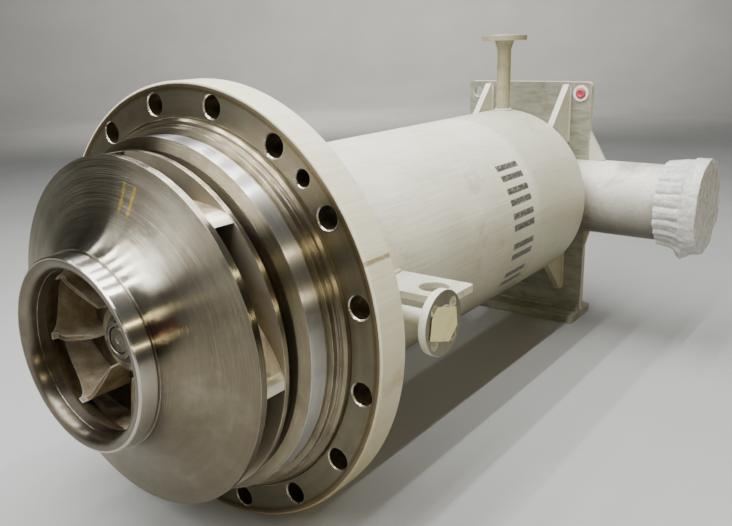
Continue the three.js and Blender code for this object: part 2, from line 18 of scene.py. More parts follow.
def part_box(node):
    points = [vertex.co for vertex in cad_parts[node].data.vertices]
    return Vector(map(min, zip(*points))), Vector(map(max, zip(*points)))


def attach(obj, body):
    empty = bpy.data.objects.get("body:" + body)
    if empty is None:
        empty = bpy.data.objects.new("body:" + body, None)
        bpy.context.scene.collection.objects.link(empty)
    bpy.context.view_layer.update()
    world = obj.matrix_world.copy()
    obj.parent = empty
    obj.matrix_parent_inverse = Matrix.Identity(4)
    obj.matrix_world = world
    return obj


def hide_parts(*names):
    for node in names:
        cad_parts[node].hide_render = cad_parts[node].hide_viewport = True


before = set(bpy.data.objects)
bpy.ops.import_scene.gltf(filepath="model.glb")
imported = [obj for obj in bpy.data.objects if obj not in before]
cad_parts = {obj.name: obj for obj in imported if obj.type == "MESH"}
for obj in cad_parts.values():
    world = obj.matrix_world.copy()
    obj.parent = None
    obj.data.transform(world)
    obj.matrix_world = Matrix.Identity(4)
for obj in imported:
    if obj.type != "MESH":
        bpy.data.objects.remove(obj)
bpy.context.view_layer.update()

LOG = logging.getLogger("pump_unit")
MM = 0.001
FULL_TURN = 2 * math.pi

# Facets round large, middling and small pieces, and the flats of the solid's big rings.
FINE_STEPS, PIPE_STEPS, SMALL_STEPS, RING_FLATS = 192, 96, 48, 60

# Bends, in degrees, up to which edges are smooth, and past which edges and corners are eased.
SMOOTH_ANGLE, BEAD_SMOOTH_ANGLE, FILM_SMOOTH_ANGLE = 32.0, 80.0, 60.0
BEVEL_ANGLE, SHARP_CORNER = 35.0, 16.0

# The most of a side that a corner's arc takes, how close corners are welded, in metres, and how much
# of its normal lies along an axis where a face looks that way.
CORNER_SHARE, WELD_DISTANCE, FACING = 0.45, 1e-5, 0.9

# How far a drill stands out of its hole, and the width of the chamfer that it leaves.
DRILL_REACH, DRILL_MOUTH = 10.0, 1.6

# The spans that most and nearly all of a noise's values lie in, and a mark's soft edge as a turn.
MIDDLE, WIDE, TURN_SOFTNESS = (0.35, 0.65), (0.3, 0.7), 0.005

Point = tuple[float, float]
Colour = tuple[float, float, float, float]
Node = bpy.types.Node
Socket = bpy.types.NodeSocket
Tree = bpy.types.NodeTree
Piece = bpy.types.Object
Finish = bpy.types.Material
FaceTest = Callable[[Vector, Vector], bool]
ANYWHERE: Point = (-math.inf, math.inf)


class Body(Enum):
    """The two bodies of the unit, by their names in the frame."""

    UNIT = "motor_unit"
    ROTOR = "rotor"


class Slot(Enum):
    """The record's material slots."""

    CREAM = "cream_paint"
    PRIMER = "grey_primer"
    MACHINED = "machined_steel"
    POLISHED = "polished_steel"
    CAST = "cast_steel"
    RED = "red_plastic"
    PALE = "pale_plastic"
    FILM = "clear_film"


class MarkAxis(Enum):
    """What a mark's length is measured along, by the polar group's output."""

    STATION = "Station"
    RADIUS = "Radius"


@dataclass(frozen=True)
class Line:
    """A turning line: its start, its direction, and the direction that radii are drawn in.

    The fit is the share of a drawn radius that is used, so that a round piece stays inside the flats
    of the solid that it stands for.
    """

    origin: Vector
    along: Vector
    out: Vector
    fit: float = 1.0

    def point(self, station: float, radius: float, turn: float = 0.0) -> Vector:
        """Gives a point by its place along the line, its radius and its turn.

        Args:
            station: Distance along the line, in millimetres.
            radius: Distance from the line, in millimetres.
            turn: Angle about the line from the drawing direction, in radians.

        Returns:
            The point, in metres.
        """
        spoke = Matrix.Rotation(turn, 3, self.along) @ self.out
        return self.origin + self.along * (station * MM) + spoke * (radius * self.fit * MM)

    def place(self, point: Vector) -> Point:
        """Finds a point's place along the line and its distance from it.

        Args:
            point: The point, in metres.

        Returns:
            Its station and its radius, in millimetres.
        """
        away = point - self.origin
        station = away.dot(self.along)
        return station / MM, (away - self.along * station).length / MM

    def parallel(self, station: float, radius: float, turn: float) -> "Line":
        """Gives a line beside this one, such as a bolt hole's, with its own radii at full size."""
        spoke = Matrix.Rotation(turn, 3, self.along) @ self.out
        return Line(self.point(station, radius, turn), self.along, spoke)


X_AXIS, Y_AXIS, Z_AXIS = Vector((1, 0, 0)), Vector((0, 1, 0)), Vector((0, 0, 1))


def node_middle(node: str) -> Vector:
    """Gives the middle of a node's box, in metres."""
    low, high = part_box(node)
    return (low + high) / 2


FLANGE_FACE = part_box("motor_flange")[0].x
SHAFT_HEIGHT = node_middle("motor_barrel").z
SHAFT = Line(Vector((FLANGE_FACE, 0, SHAFT_HEIGHT)), X_AXIS, Z_AXIS, math.cos(math.pi / RING_FLATS))


def side_line(node: str) -> Line:
    """Gives the line of a side connection, from the shaft's plane outwards."""
    middle = node_middle(node)
    return Line(Vector((middle.x, 0, middle.z)), -Y_AXIS, Z_AXIS)


SIDE_NOZZLE = side_line("side_nozzle_flange")
SMALL_NOZZLE = side_line("small_nozzle_flange")
VENT = Line(Vector((node_middle("vent_flange").x, 0, SHAFT_HEIGHT)), Z_AXIS, X_AXIS)


def turn_at(degrees: float) -> float:
    """Turns an angle from the nozzle side upwards into a turn about the shaft from the top."""
    return math.radians(90 - degrees)


def at(station: float, across: float, up: float) -> Vector:
    """Gives a point by its station, and by how far across and how far up from the shaft it is."""
    return SHAFT.origin + Vector((station, across, up)) * MM


def outward(point: Vector) -> Vector:
    """Gives the direction away from the shaft's line at a point."""
    return Vector((0, point.y, point.z - SHAFT_HEIGHT)).normalized()


def tint(red: int, green: int, blue: int) -> Colour:
    """Turns a colour as the eye sees it, 0 to 255, into the shader's linear values.

    Args:
        red: The red level.
        green: The green level.
        blue: The blue level.

    Returns:
        The colour, with full alpha.
    """
    def linear(level: int) -> float:
        """Undoes the display curve of one channel."""
        share = level / 255
        return share / 12.92 if share <= 0.04045 else ((share + 0.055) / 1.055) ** 2.4
    return linear(red), linear(green), linear(blue), 1.0


def curve(start: Point, control: Point, end: Point, steps: int = 24) -> list[Point]:
    """Gives points along a quadratic curve, with both its ends.

    Args:
        start: Where it starts.
        control: The corner that it bends towards.
        end: Where it ends.
        steps: How many steps it has.

    Returns:
        The points.
    """
    a, b, c = Vector(start), Vector(control), Vector(end)
    shares = [k / steps for k in range(steps + 1)]
    points = [a * (1 - t) ** 2 + b * (2 * t * (1 - t)) + c * t ** 2 for t in shares]
    return [(point.x, point.y) for point in points]


def rounded(outline: Sequence[Point], radius: float, segments: int = 3) -> list[Point]:
    """Replaces a closed outline's sharp corners by small arcs.

    Args:
        outline: The corners. On a turned profile each is a station and a radius.
        radius: The arcs' radius, in millimetres.
        segments: How many steps each arc has.

    Returns:
        The outline with its corners eased. Corners on the turning line itself stay sharp.
    """
    result: list[Point] = []
    for i, corner in enumerate(outline):
        middle = Vector(corner)
        before = Vector(outline[i - 1]) - middle
        after = Vector(outline[(i + 1) % len(outline)]) - middle
        bend = math.pi - before.angle(after, math.pi)
        if corner[1] == 0 or bend < math.radians(SHARP_CORNER):
            result.append(corner)
            continue
        reach = min(radius * math.tan(bend / 2), before.length * CORNER_SHARE,
                    after.length * CORNER_SHARE)
        start, end = middle + before.normalized() * reach, middle + after.normalized() * reach
        result += curve(start, middle, end, segments)
    return result


def section(start: float, end: float, outer: float, inner: float = 0) -> list[Point]:
    """Gives the square profile of a disc, or of a ring where it has a bore."""
    return [(start, inner), (start, outer), (end, outer), (end, inner)]


def under(limit: float) -> Point:
    """Gives the span below a limit."""
    return -math.inf, limit


def over(limit: float) -> Point:
    """Gives the span above a limit."""
    return limit, math.inf


def zone(stations: Point = ANYWHERE, radii: Point = ANYWHERE, facing: Point = ANYWHERE) -> FaceTest:
    """Makes a test that passes the faces of one zone about the shaft.

    Args:
        stations: The span that a face's middle lies in along the shaft.
        radii: The span of its radius.
        facing: The span of its normal's part along the shaft.

    Returns:
        The test.
    """
    def test(middle: Vector, normal: Vector) -> bool:
        """Passes a face that is within all three spans."""
        spans = zip((*SHAFT.place(middle), normal.x), (stations, radii, facing))
        return all(low < value < high for value, (low, high) in spans)
    return test


class Bench:
    """The modelling steps that the pieces share."""

    @staticmethod
    def clear() -> None:
        """Goes to object mode with nothing selected."""
        if bpy.context.mode != "OBJECT":
            bpy.ops.object.mode_set(mode="OBJECT")
        bpy.ops.object.select_all(action="DESELECT")

    @staticmethod
    def pick(piece: Piece) -> None:
        """Selects one piece alone and makes it active.

        Args:
            piece: The piece.
        """
        Bench.clear()
        piece.select_set(True)
        bpy.context.view_layer.objects.active = piece

    @staticmethod
    def begin(name: str) -> Piece:
        """Names the primitive just added and puts its place into its mesh.

        Args:
            name: The piece's name.

        Returns:
            The piece, in edit mode with all of it selected.
        """
        piece = bpy.context.active_object
        piece.name = piece.data.name = name
        bpy.ops.object.transform_apply(location=True, rotation=True, scale=True)
        bpy.ops.object.mode_set(mode="EDIT")
        bpy.ops.mesh.select_all(action="SELECT")
        return piece

    @staticmethod
    def wire(name: str, points: Sequence[Vector]) -> Piece:
        """Draws a wire through points, starting from a plane gathered to one corner.

        Args:
            name: The piece's name.
            points: The corners of the wire, in metres.

        Returns:
            The piece, in edit mode with all of it selected.
        """
        Bench.clear()
        bpy.ops.mesh.primitive_plane_add(size=MM, location=points[0])
        piece = Bench.begin(name)
        bpy.ops.mesh.merge(type="CENTER")
        for before, after in zip(points, points[1:]):
            bpy.ops.mesh.extrude_vertices_move(TRANSFORM_OT_translate={"value": after - before})
        bpy.ops.mesh.select_all(action="SELECT")
        bpy.ops.mesh.remove_doubles(threshold=WELD_DISTANCE)
        return piece

    @staticmethod
    def close(smooth_angle: float = SMOOTH_ANGLE) -> None:
        """Closes seams, turns faces outwards, leaves edit mode and smooths what is round.

        Args:
            smooth_angle: The bend up to which an edge is smooth, in degrees.
        """
        bpy.ops.mesh.select_all(action="SELECT")
        bpy.ops.mesh.remove_doubles(threshold=WELD_DISTANCE)
        bpy.ops.mesh.normals_make_consistent(inside=False)
        bpy.ops.object.mode_set(mode="OBJECT")
        bpy.ops.object.shade_smooth_by_angle(angle=math.radians(smooth_angle))

    @staticmethod
    def turned(name: str, line: Line, profile: Sequence[Point], steps: int = FINE_STEPS,
               closed: bool = True) -> Piece:
        """Spins a profile round a line.

        Args:
            name: The piece's name.
            line: The line that it is turned about.
            profile: Points of station and radius, in millimetres.
            steps: How many facets go round.
            closed: Whether the last point joins the first, where they aren't on the line.

        Returns:
            The piece.
        """
        points = [line.point(station, radius) for station, radius in profile]
        meets_line = profile[0][1] == 0 and profile[-1][1] == 0
        piece = Bench.wire(name, [*points, points[0]] if closed and not meets_line else points)
        bpy.ops.mesh.spin(steps=steps, angle=FULL_TURN, center=line.origin, axis=line.along)
        Bench.close()
        return piece

    @staticmethod
    def slab(name: str, outline: Sequence[Vector], push: Vector) -> Piece:
        """Fills a flat outline and pulls it out to a thickness.

        Args:
            name: The piece's name.
            outline: The corners, in metres.
            push: The way and distance that it is pulled, in metres.

        Returns:
            The piece.
        """
        piece = Bench.wire(name, [*outline, outline[0]])
        bpy.ops.mesh.edge_face_add()
        bpy.ops.mesh.extrude_region_move(TRANSFORM_OT_translate={"value": push})
        Bench.close()
        return piece

    @staticmethod
    def apply(piece: Piece, kind: str, **settings: object) -> None:
        """Adds a modifier with its settings and applies it.

        Args:
            piece: The piece.
            kind: The modifier's type.
            **settings: Its settings by name.
        """
        Bench.pick(piece)
        modifier = piece.modifiers.new(kind.lower(), kind)
        for key, value in settings.items():
            setattr(modifier, key, value)
        bpy.ops.object.modifier_apply(modifier=modifier.name)

    @staticmethod
    def ease(piece: Piece, width: float, segments: int = 3) -> None:
        """Rounds a piece's sharp edges.

        Args:
            piece: The piece.
            width: The rounding's width, in millimetres.
            segments: How many steps it has.
        """
        Bench.apply(piece, "BEVEL", width=width * MM, segments=segments, limit_method="ANGLE",
                    angle_limit=math.radians(BEVEL_ANGLE))
        bpy.ops.object.shade_smooth_by_angle(angle=math.radians(SMOOTH_ANGLE))

    @staticmethod
    def copied(piece: Piece, line: Line, turn: float) -> Piece:
        """Copies a piece with its own mesh.

        Args:
            piece: The piece.
            line: The line that the copy is turned about.
            turn: The angle, in radians.

        Returns:
            The copy.
        """
        copy = piece.copy()
        copy.data = piece.data.copy()
        bpy.context.collection.objects.link(copy)
        there = Matrix.Translation(line.origin)
        copy.data.transform(there @ Matrix.Rotation(turn, 4, line.along) @ there.inverted())
        return copy

    @staticmethod
    def repeated(piece: Piece, line: Line, count: int, way: int = 1) -> list[Piece]:
        """Copies a piece round a line at equal steps.

        Args:
            piece: The first piece.
            line: The line that the copies go round.
            count: How many there are, with the first.
            way: The way round, 1 or -1.

        Returns:
            The first piece and its copies.
        """
        step = way * FULL_TURN / count
        return [piece, *(Bench.copied(piece, line, step * k) for k in range(1, count))]

    @staticmethod
    def joined(pieces: Sequence[Piece], name: str) -> Piece:
        """Joins pieces into the first one and names it.

        Args:
            pieces: The pieces.
            name: The name of the whole.

        Returns:
            The whole.
        """
        Bench.pick(pieces[0])
        for piece in pieces:
            piece.select_set(True)
        if len(pieces) > 1:
            bpy.ops.object.join()
        pieces[0].name = pieces[0].data.name = name
        return pieces[0]

    @staticmethod
    def combine(piece: Piece, tools: Sequence[Piece], operation: str = "DIFFERENCE") -> None:
        """Shapes a piece with tools.

        Args:
            piece: The piece.
            tools: The tools, which are used up.
            operation: DIFFERENCE cuts them out, and INTERSECT keeps what they share with the piece.
        """
        tool = Bench.joined(tools, f"{piece.name}_tool")
        Bench.apply(piece, "BOOLEAN", operation=operation, solver="EXACT", object=tool)
        bpy.data.objects.remove(tool)
        bpy.ops.object.shade_smooth_by_angle(angle=math.radians(SMOOTH_ANGLE))

    @staticmethod
    def drill(line: Line, start: float, end: float, radius: float,
              mouth: float = DRILL_MOUTH) -> Piece:
        """Makes the tool for a round hole with chamfered mouths, its sizes in millimetres.

        Args:
            line: The hole's line.
            start: The station of one mouth.
            end: The station of the other mouth.
            radius: The hole's radius.
            mouth: The chamfers' width.

        Returns:
            The tool.
        """
        wide = radius + mouth + DRILL_REACH
        profile = [(start - DRILL_REACH, 0), (start - DRILL_REACH, wide), (start + mouth, radius),
                   (end - mouth, radius), (end + DRILL_REACH, wide), (end + DRILL_REACH, 0)]
        return Bench.turned("drill", line, profile, SMALL_STEPS)

    @staticmethod
    def bead(name: str, points: Sequence[Vector], size: float, closed: bool = True) -> Piece:
        """Lays a lumpy weld bead along points.

        Args:
            name: The piece's name.
            points: The bead's middle line, in metres.
            size: The bead's radius, in millimetres.
            closed: Whether the bead comes back to its start.

        Returns:
            The piece.
        """
        piece = Bench.wire(name, [*points, points[0]] if closed else points)
        bpy.ops.object.mode_set(mode="OBJECT")
        bpy.ops.object.convert(target="CURVE")
        piece.data.bevel_depth = size * MM
        piece.data.bevel_resolution = 2
        piece.data.use_fill_caps = True
        bpy.ops.object.convert(target="MESH")
        bpy.ops.object.mode_set(mode="EDIT")
        bpy.ops.mesh.select_all(action="SELECT")
        bpy.ops.transform.vertex_random(offset=size * 0.14 * MM, uniform=0.3, normal=0.7, seed=4)
        Bench.close(BEAD_SMOOTH_ANGLE)
        return piece

    @staticmethod
    def bead_ring(name: str, line: Line, station: float, radius: float, size: float) -> Piece:
        """Lays a weld bead round a line, its sizes in millimetres."""
        turns = [FULL_TURN * k / FINE_STEPS for k in range(FINE_STEPS)]
        return Bench.bead(name, [line.point(station, radius, turn) for turn in turns], size)

    @staticmethod
    def bead_run(name: str, start: Vector, end: Vector, size: float) -> Piece:
        """Lays a straight weld bead between two points."""
        steps = max(2, round((end - start).length / (size * 0.9 * MM)))
        return Bench.bead(name, [start.lerp(end, k / steps) for k in range(steps + 1)], size, False)

    @staticmethod
    def dress(piece: Piece, finish: Finish, *others: tuple[Finish, FaceTest]) -> None:
        """Gives a piece its finish, and others to the faces that pass their tests.

        Args:
            piece: The piece.
            finish: The finish of every other face.
            *others: Each further finish with a test of a face's middle and normal.
        """
        piece.data.materials.clear()
        piece.data.materials.append(finish)
        for index, (other, test) in enumerate(others, start=1):
            piece.data.materials.append(other)
            for face in piece.data.polygons:
                if test(face.center, face.normal):
                    face.material_index = index

    @staticmethod
    def deliver(piece: Piece, body: Body, slot: Slot, *nodes: str) -> None:
        """Settles a piece's normals and hands it to the frame.

        Args:
            piece: The finished piece.
            body: The body that it rides on.
            slot: The record's slot that its finish comes from. Not used.
            *nodes: The nodes that it stands for.
        """
        Bench.apply(piece, "WEIGHTED_NORMAL", keep_sharp=True, weight=60)
        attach(piece, body.value)
        if nodes:
            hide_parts(*nodes)
        LOG.info("%s: %d faces", piece.name, len(piece.data.polygons))


class Sketch:
    """Adds and links the nodes of one shader tree."""

    def __init__(self, tree: Tree) -> None:
        """Keeps the tree that nodes are added to."""
        self.tree = tree

    def node(self, kind: str, inputs: dict[int | str, object] | None = None,
             **settings: object) -> Node:
        """Adds a node.

        Args:
            kind: The node's type, without the leading ShaderNode.
            inputs: Sockets by name or number, each with a value or the socket that feeds it.
            **settings: The node's own settings.

        Returns:
            The node.
        """
        made = self.tree.nodes.new(f"ShaderNode{kind}")
        for key, value in settings.items():
            setattr(made, key, value)
        self.feed(made, inputs or {})
        return made

    def feed(self, node: Node, inputs: dict[int | str, object]) -> None:
        """Feeds a node's inputs.

        Args:
            node: The node.
            inputs: Sockets by name or number, each with a value or the socket that feeds it.
        """
        for key, value in inputs.items():
            if isinstance(value, Socket):
                self.tree.links.new(value, node.inputs[key])
            else:
                node.inputs[key].default_value = value

    def math(self, operation: str, *values: object) -> Socket:
        """Adds a Math node and gives its result."""
        return self.node("Math", dict(enumerate(values)), operation=operation).outputs[0]

    def times(self, first: object, second: object) -> Socket:
        """Multiplies two values."""
        return self.math("MULTIPLY", first, second)

    def spread(self, value: object, low: object, high: object, to_low: float = 0.0,
               to_high: float = 1.0) -> Socket:
        """Maps a value's range onto another, kept within it."""
        ends = {"Value": value, "From Min": low, "From Max": high, "To Min": to_low, "To Max": to_high}
        return self.node("MapRange", ends).outputs[0]

    def mix(self, share: object, first: object, second: object) -> Socket:
        """Mixes two colours."""
        return self.node("Mix", {0: share, 6: first, 7: second}, data_type="RGBA").outputs[2]

    def noise(self, vector: object, scale: object, detail: float = 3.0, roughness: float = 0.55,
              distortion: float = 0.0) -> Socket:
        """Adds a noise texture.

        Args:
            vector: The coordinates.
            scale: The noise's scale.
            detail: How many finer layers it has.
            roughness: How strong each finer layer is.
            distortion: How much it is warped.

        Returns:
            Its value.
        """
        inputs = {"Vector": vector, "Scale": scale, "Detail": detail, "Roughness": roughness,
                  "Distortion": distortion}
        return self.node("TexNoise", inputs).outputs[0]

    def bump(self, height: object, distance: float, strength: float = 1.0,
             normal: Socket | None = None) -> Socket:
        """Adds a bump from a height.

        Args:
            height: The height, 0 to 1.
            distance: The height's full depth, in metres.
            strength: The share of it that is used.
            normal: The normal that it stands on, if any.

        Returns:
            The bumped normal.
        """
        inputs = {"Height": height, "Distance": distance, "Strength": strength}
        if normal is not None:
            inputs["Normal"] = normal
        return self.node("Bump", inputs).outputs[0]

    def group(self, tree: Tree, **inputs: object) -> Node:
        """Places a shared group with its own values."""
        return self.node("Group", inputs, node_tree=tree)


class Effects:
    """The shader groups that more than one finish uses, each built once."""

    def __init__(self) -> None:
        """Builds all the groups."""
        self.polar = self._polar()
        self.edge_wear = self._edge_wear()
        self.patches = self._patches()
        self.scratches = self._scratches()
        self.turning = self._turning()
        self.brushing = self._brushing()
        self.band = self._band()

    @staticmethod
    def _start(name: str, inputs: dict[str, float | None],
               outputs: Sequence[str]) -> tuple[Sketch, dict[str, Socket], Node]:
        """Starts a group with named sockets.

        Args:
            name: The group's name.
            inputs: Each input's value at the start, or None for a vector.
            outputs: The names of the values that it gives.

        Returns:
            The sketch, the inputs to read from and the node to feed.
        """
        tree = bpy.data.node_groups.new(name, "ShaderNodeTree")
        for label, value in inputs.items():
            kind = "NodeSocketVector" if value is None else "NodeSocketFloat"
            socket = tree.interface.new_socket(name=label, in_out="INPUT", socket_type=kind)
            if value is not None:
                socket.default_value = value
        for label in outputs:
            tree.interface.new_socket(name=label, in_out="OUTPUT", socket_type="NodeSocketFloat")
        entry, leave = tree.nodes.new("NodeGroupInput"), tree.nodes.new("NodeGroupOutput")
        return Sketch(tree), {label: entry.outputs[label] for label in inputs}, leave

    def _polar(self) -> Tree:
        """Gives the station, the radius and the angle about the shaft, in metres and radians.

        Returns:
            The group's tree.
        """
        sketch, given, made = self._start(
            "shaft_polar", {"Vector": None}, ["Station", "Radius", "Angle"])
        parts = sketch.node("SeparateXYZ", {0: given["Vector"]})
        height = sketch.math("SUBTRACT", parts.outputs[2], SHAFT_HEIGHT)
        across = parts.outputs[1]
        square = sketch.math("MULTIPLY_ADD", height, height, sketch.times(across, across))
        sketch.feed(made, {
            "Station": sketch.math("SUBTRACT", parts.outputs[0], FLANGE_FACE),
            "Radius": sketch.math("SQRT", square),
            "Angle": sketch.math("ARCTAN2", height, sketch.times(across, -1.0))})
        return sketch.tree

    def _edge_wear(self) -> Tree:
        """Marks the edges that are rubbed bare, broken up by noise.

        Returns:
            The group's tree.
        """
        sketch, given, made = self._start(
            "edge_wear", {"Vector": None, "Width": 0.002, "Breakup": 60.0}, ["Mask"])
        bevel = sketch.node("Bevel", {"Radius": given["Width"]}, samples=4)
        facing = sketch.node("NewGeometry")
        likeness = sketch.node("VectorMath", {0: bevel.outputs[0], 1: facing.outputs["Normal"]},
                               operation="DOT_PRODUCT").outputs["Value"]
        broken = sketch.spread(sketch.noise(given["Vector"], given["Breakup"], 4.0, 0.7), 0.36, 0.56)
        sharp = sketch.spread(likeness, 0.985, 0.88)
        sketch.feed(made, {"Mask": sketch.times(sharp, broken)})
        return sketch.tree

    def _patches(self) -> Tree:
        """Marks soft-edged patches, such as smudges and stains.

        Returns:
            The group's tree.
        """
        sketch, given, made = self._start(
            "patches", {"Vector": None, "Scale": 6.0, "Level": 0.55, "Softness": 0.12}, ["Mask"])
        noise = sketch.noise(given["Vector"], given["Scale"], 6.0, 0.62, 0.4)
        high = sketch.math("ADD", given["Level"], given["Softness"])
        sketch.feed(made, {"Mask": sketch.spread(noise, given["Level"], high)})
        return sketch.tree

    def _scratches(self) -> Tree:
        """Marks fine scratches that run in two directions.

        Returns:
            The group's tree.
        """
        sketch, given, made = self._start("scratches", {"Vector": None, "Level": 0.68}, ["Mask"])
        high = sketch.math("ADD", given["Level"], 0.05)
        lines = []
        for turn in ((0.3, 0.9, 0.4), (1.2, 0.2, 2.1)):
            turned = sketch.node("Mapping", {"Vector": given["Vector"], "Rotation": turn,
                                             "Scale": (6, 260, 260)})
            noise = sketch.noise(turned.outputs[0], 1.0, 2.0, 0.5, 0.15)
            lines.append(sketch.spread(noise, given["Level"], high))
        sketch.feed(made, {"Mask": sketch.math("MAXIMUM", *lines)})
        return sketch.tree

    def _turning(self) -> Tree:
        """Gives the fine rings that a lathe leaves round the shaft, and broad ones for the tone.

        Returns:
            The group's tree.
        """
        sketch, given, made = self._start(
            "turning_marks", {"Vector": None, "Pitch": 900.0, "Wander": 1.2}, ["Fine", "Broad"])
        polar = sketch.group(self.polar, Vector=given["Vector"])
        for label, share in (("Fine", 1.0), ("Broad", 0.07)):
            pitch = sketch.times(given["Pitch"], share)
            rings = sketch.node("CombineXYZ", {
                0: sketch.times(polar.outputs["Station"], pitch),
                1: sketch.times(polar.outputs["Radius"], pitch),
                2: sketch.times(polar.outputs["Angle"], given["Wander"])})
            sketch.feed(made, {label: sketch.noise(rings.outputs[0], 1.0, 2.0)})
        return sketch.tree

    def _brushing(self) -> Tree:
        """Gives the strokes that a brush leaves along the shaft in thick paint.

        Returns:
            The group's tree.
        """
        sketch, given, made = self._start(
            "brush_strokes", {"Vector": None, "Count": 46.0, "Length": 7.0}, ["Strokes"])
        polar = sketch.group(self.polar, Vector=given["Vector"])
        lanes = sketch.node("CombineXYZ", {
            0: sketch.times(polar.outputs["Station"], given["Length"]),
            1: sketch.times(polar.outputs["Angle"], given["Count"]),
            2: sketch.times(polar.outputs["Radius"], 90.0)})
        sketch.feed(made, {"Strokes": sketch.noise(lanes.outputs[0], 1.0, 4.0, 0.6, 0.3)})
        return sketch.tree

    def _band(self) -> Tree:
        """Marks a span of a value, with soft ends.

        Returns:
            The group's tree.
        """
        sketch, given, made = self._start(
            "band", {"Value": 0.0, "Middle": 0.0, "Half": 0.01, "Softness": 0.001}, ["Mask"])
        away = sketch.math("ABSOLUTE", sketch.math("SUBTRACT", given["Value"], given["Middle"]))
        far = sketch.math("ADD", given["Half"], given["Softness"])
        beyond = sketch.spread(away, given["Half"], far)
        sketch.feed(made, {"Mask": sketch.math("SUBTRACT", 1.0, beyond)})
        return sketch.tree


EFFECTS = Effects()


@dataclass(frozen=True)
class Mark:
    """A stain, a stroke or painted shade on a surface: a span of station or radius, crossed by one of
    angle.
    """

    axis: MarkAxis
    middle: float
    half: float
    angle: float
    half_angle: float
    colour: Colour
    softness: float = 1.0
    strength: float = 0.9
    breakup: float = 170.0

    def over(self, sketch: Sketch, polar: Node, where: Socket, colour: Socket) -> Socket:
        """Lays the mark over a colour.

        Args:
            sketch: The material's sketch.
            polar: The polar group placed in it.
            where: The coordinates that break the mark up.
            colour: The colour under the mark.

        Returns:
            The colour with the mark.
        """
        along = sketch.group(EFFECTS.band, Value=polar.outputs[self.axis.value],
                             Middle=self.middle * MM, Half=self.half * MM, Softness=self.softness * MM)
        about = sketch.group(EFFECTS.band, Value=polar.outputs["Angle"],
                             Middle=math.radians(self.angle), Half=math.radians(self.half_angle),
                             Softness=self.softness * TURN_SOFTNESS)
        both = sketch.times(along.outputs[0], about.outputs[0])
        noise = sketch.noise(where, self.breakup, 4.0, 0.7)
        worn = sketch.spread(noise, 0.3, 0.5, min(0.45, self.strength), self.strength)
        return sketch.mix(sketch.times(both, worn), colour, self.colour)


def marked(sketch: Sketch, where: Socket, colour: Socket, marks: Sequence[Mark]) -> Socket:
    """Lays a finish's marks over its colour.

    Args:
        sketch: The material's sketch.
        where: The coordinates that the marks are placed by.
        colour: The colour under them.
        marks: The marks, in the order that they are laid.

    Returns:
        The colour with the marks.
    """
    if marks:
        polar = sketch.group(EFFECTS.polar, Vector=where)
        for mark in marks:
            colour = mark.over(sketch, polar, where, colour)
    return colour


def new_material(name: str) -> tuple[Finish, Sketch, Node, Socket]:
    """Makes a material with a Principled shader.

    Args:
        name: The material's name.

    Returns:
        The material, a sketch of its tree, the shader and the piece's own coordinates.
    """
    material = bpy.data.materials.new(name)
    material.use_nodes = True
    sketch = Sketch(material.node_tree)
    where = sketch.node("TexCoord").outputs["Object"]
    return material, sketch, material.node_tree.nodes["Principled BSDF"], where


@dataclass(frozen=True)
class PaintedSteel:
    """Thick paint brushed along the shaft, with smudges, rubbed edges and painted underside shade."""

    name: str
    light: Colour
    shade: Colour
    smudge: Colour = tint(104, 92, 70)
    bare: Colour = tint(126, 122, 112)
    smudge_level: float = 0.60
    smudge_scale: float = 7.0
    stroke_height: float = 0.0011
    roughness: float = 0.40
    wear_width: float = 0.0016
    # The lower side darkens towards this colour, from a height over the shaft to a depth under it:
    # painted shade, with some dirt.
    grime_and_shade: Colour = tint(150, 142, 112)
    underside_shade_share: float = 0.0
    underside_shade_top: float = 40
    underside_shade_depth: float = 160
    marks: tuple[Mark, ...] = ()

    def build(self) -> Finish:
        """Builds the material.

        Returns:
            The material.
        """
        material, sketch, shader, where = new_material(self.name)
        strokes = sketch.group(EFFECTS.brushing, Vector=where).outputs[0]
        tone = sketch.spread(sketch.noise(where, 3.1, 4.0, 0.6), 0.36, 0.64)
        streaked = sketch.math("MULTIPLY_ADD", sketch.spread(strokes, *MIDDLE), 0.35,
                               sketch.times(tone, 0.65))
        colour = sketch.mix(streaked, self.light, self.shade)
        smudge = sketch.group(EFFECTS.patches, Vector=where, Scale=self.smudge_scale,
                              Level=self.smudge_level, Softness=0.14).outputs[0]
        colour = sketch.mix(sketch.times(smudge, 0.55), colour, self.smudge)
        specks = sketch.group(EFFECTS.patches, Vector=where, Scale=90.0, Level=0.71, Softness=0.03)
        colour = sketch.mix(sketch.times(specks.outputs[0], 0.6), colour, self.smudge)
        # Painted shade, with some dirt: the colour darkens towards the bottom of the piece.
        height = sketch.node("SeparateXYZ", {0: where}).outputs[2]
        under = sketch.spread(height, SHAFT_HEIGHT + self.underside_shade_top * MM,
                              SHAFT_HEIGHT - self.underside_shade_depth * MM, 0.0, self.underside_shade_share)
        colour = sketch.mix(under, colour, self.grime_and_shade)
        colour = marked(sketch, where, colour, self.marks)
        worn = sketch.group(EFFECTS.edge_wear, Vector=where, Width=self.wear_width, Breakup=48.0)
        scratch = sketch.group(EFFECTS.scratches, Vector=where, Level=0.72)
        scratched = sketch.times(scratch.outputs[0], 0.35)
        bare = sketch.math("MAXIMUM", worn.outputs[0], scratched)
        gloss = sketch.math("MULTIPLY_ADD", smudge, 0.16, self.roughness)
        peel = sketch.bump(sketch.noise(where, 320.0, 2.0), 0.0002, 0.4)
        wavy = sketch.bump(sketch.noise(where, 14.0, 2.0), 0.004, 0.25, peel)
        sketch.feed(shader, {"Base Color": sketch.mix(bare, colour, self.bare),
                             "Roughness": sketch.math("MULTIPLY_ADD", tone, 0.08, gloss),
                             "Normal": sketch.bump(strokes, self.stroke_height, 0.5, wavy)})
        return material


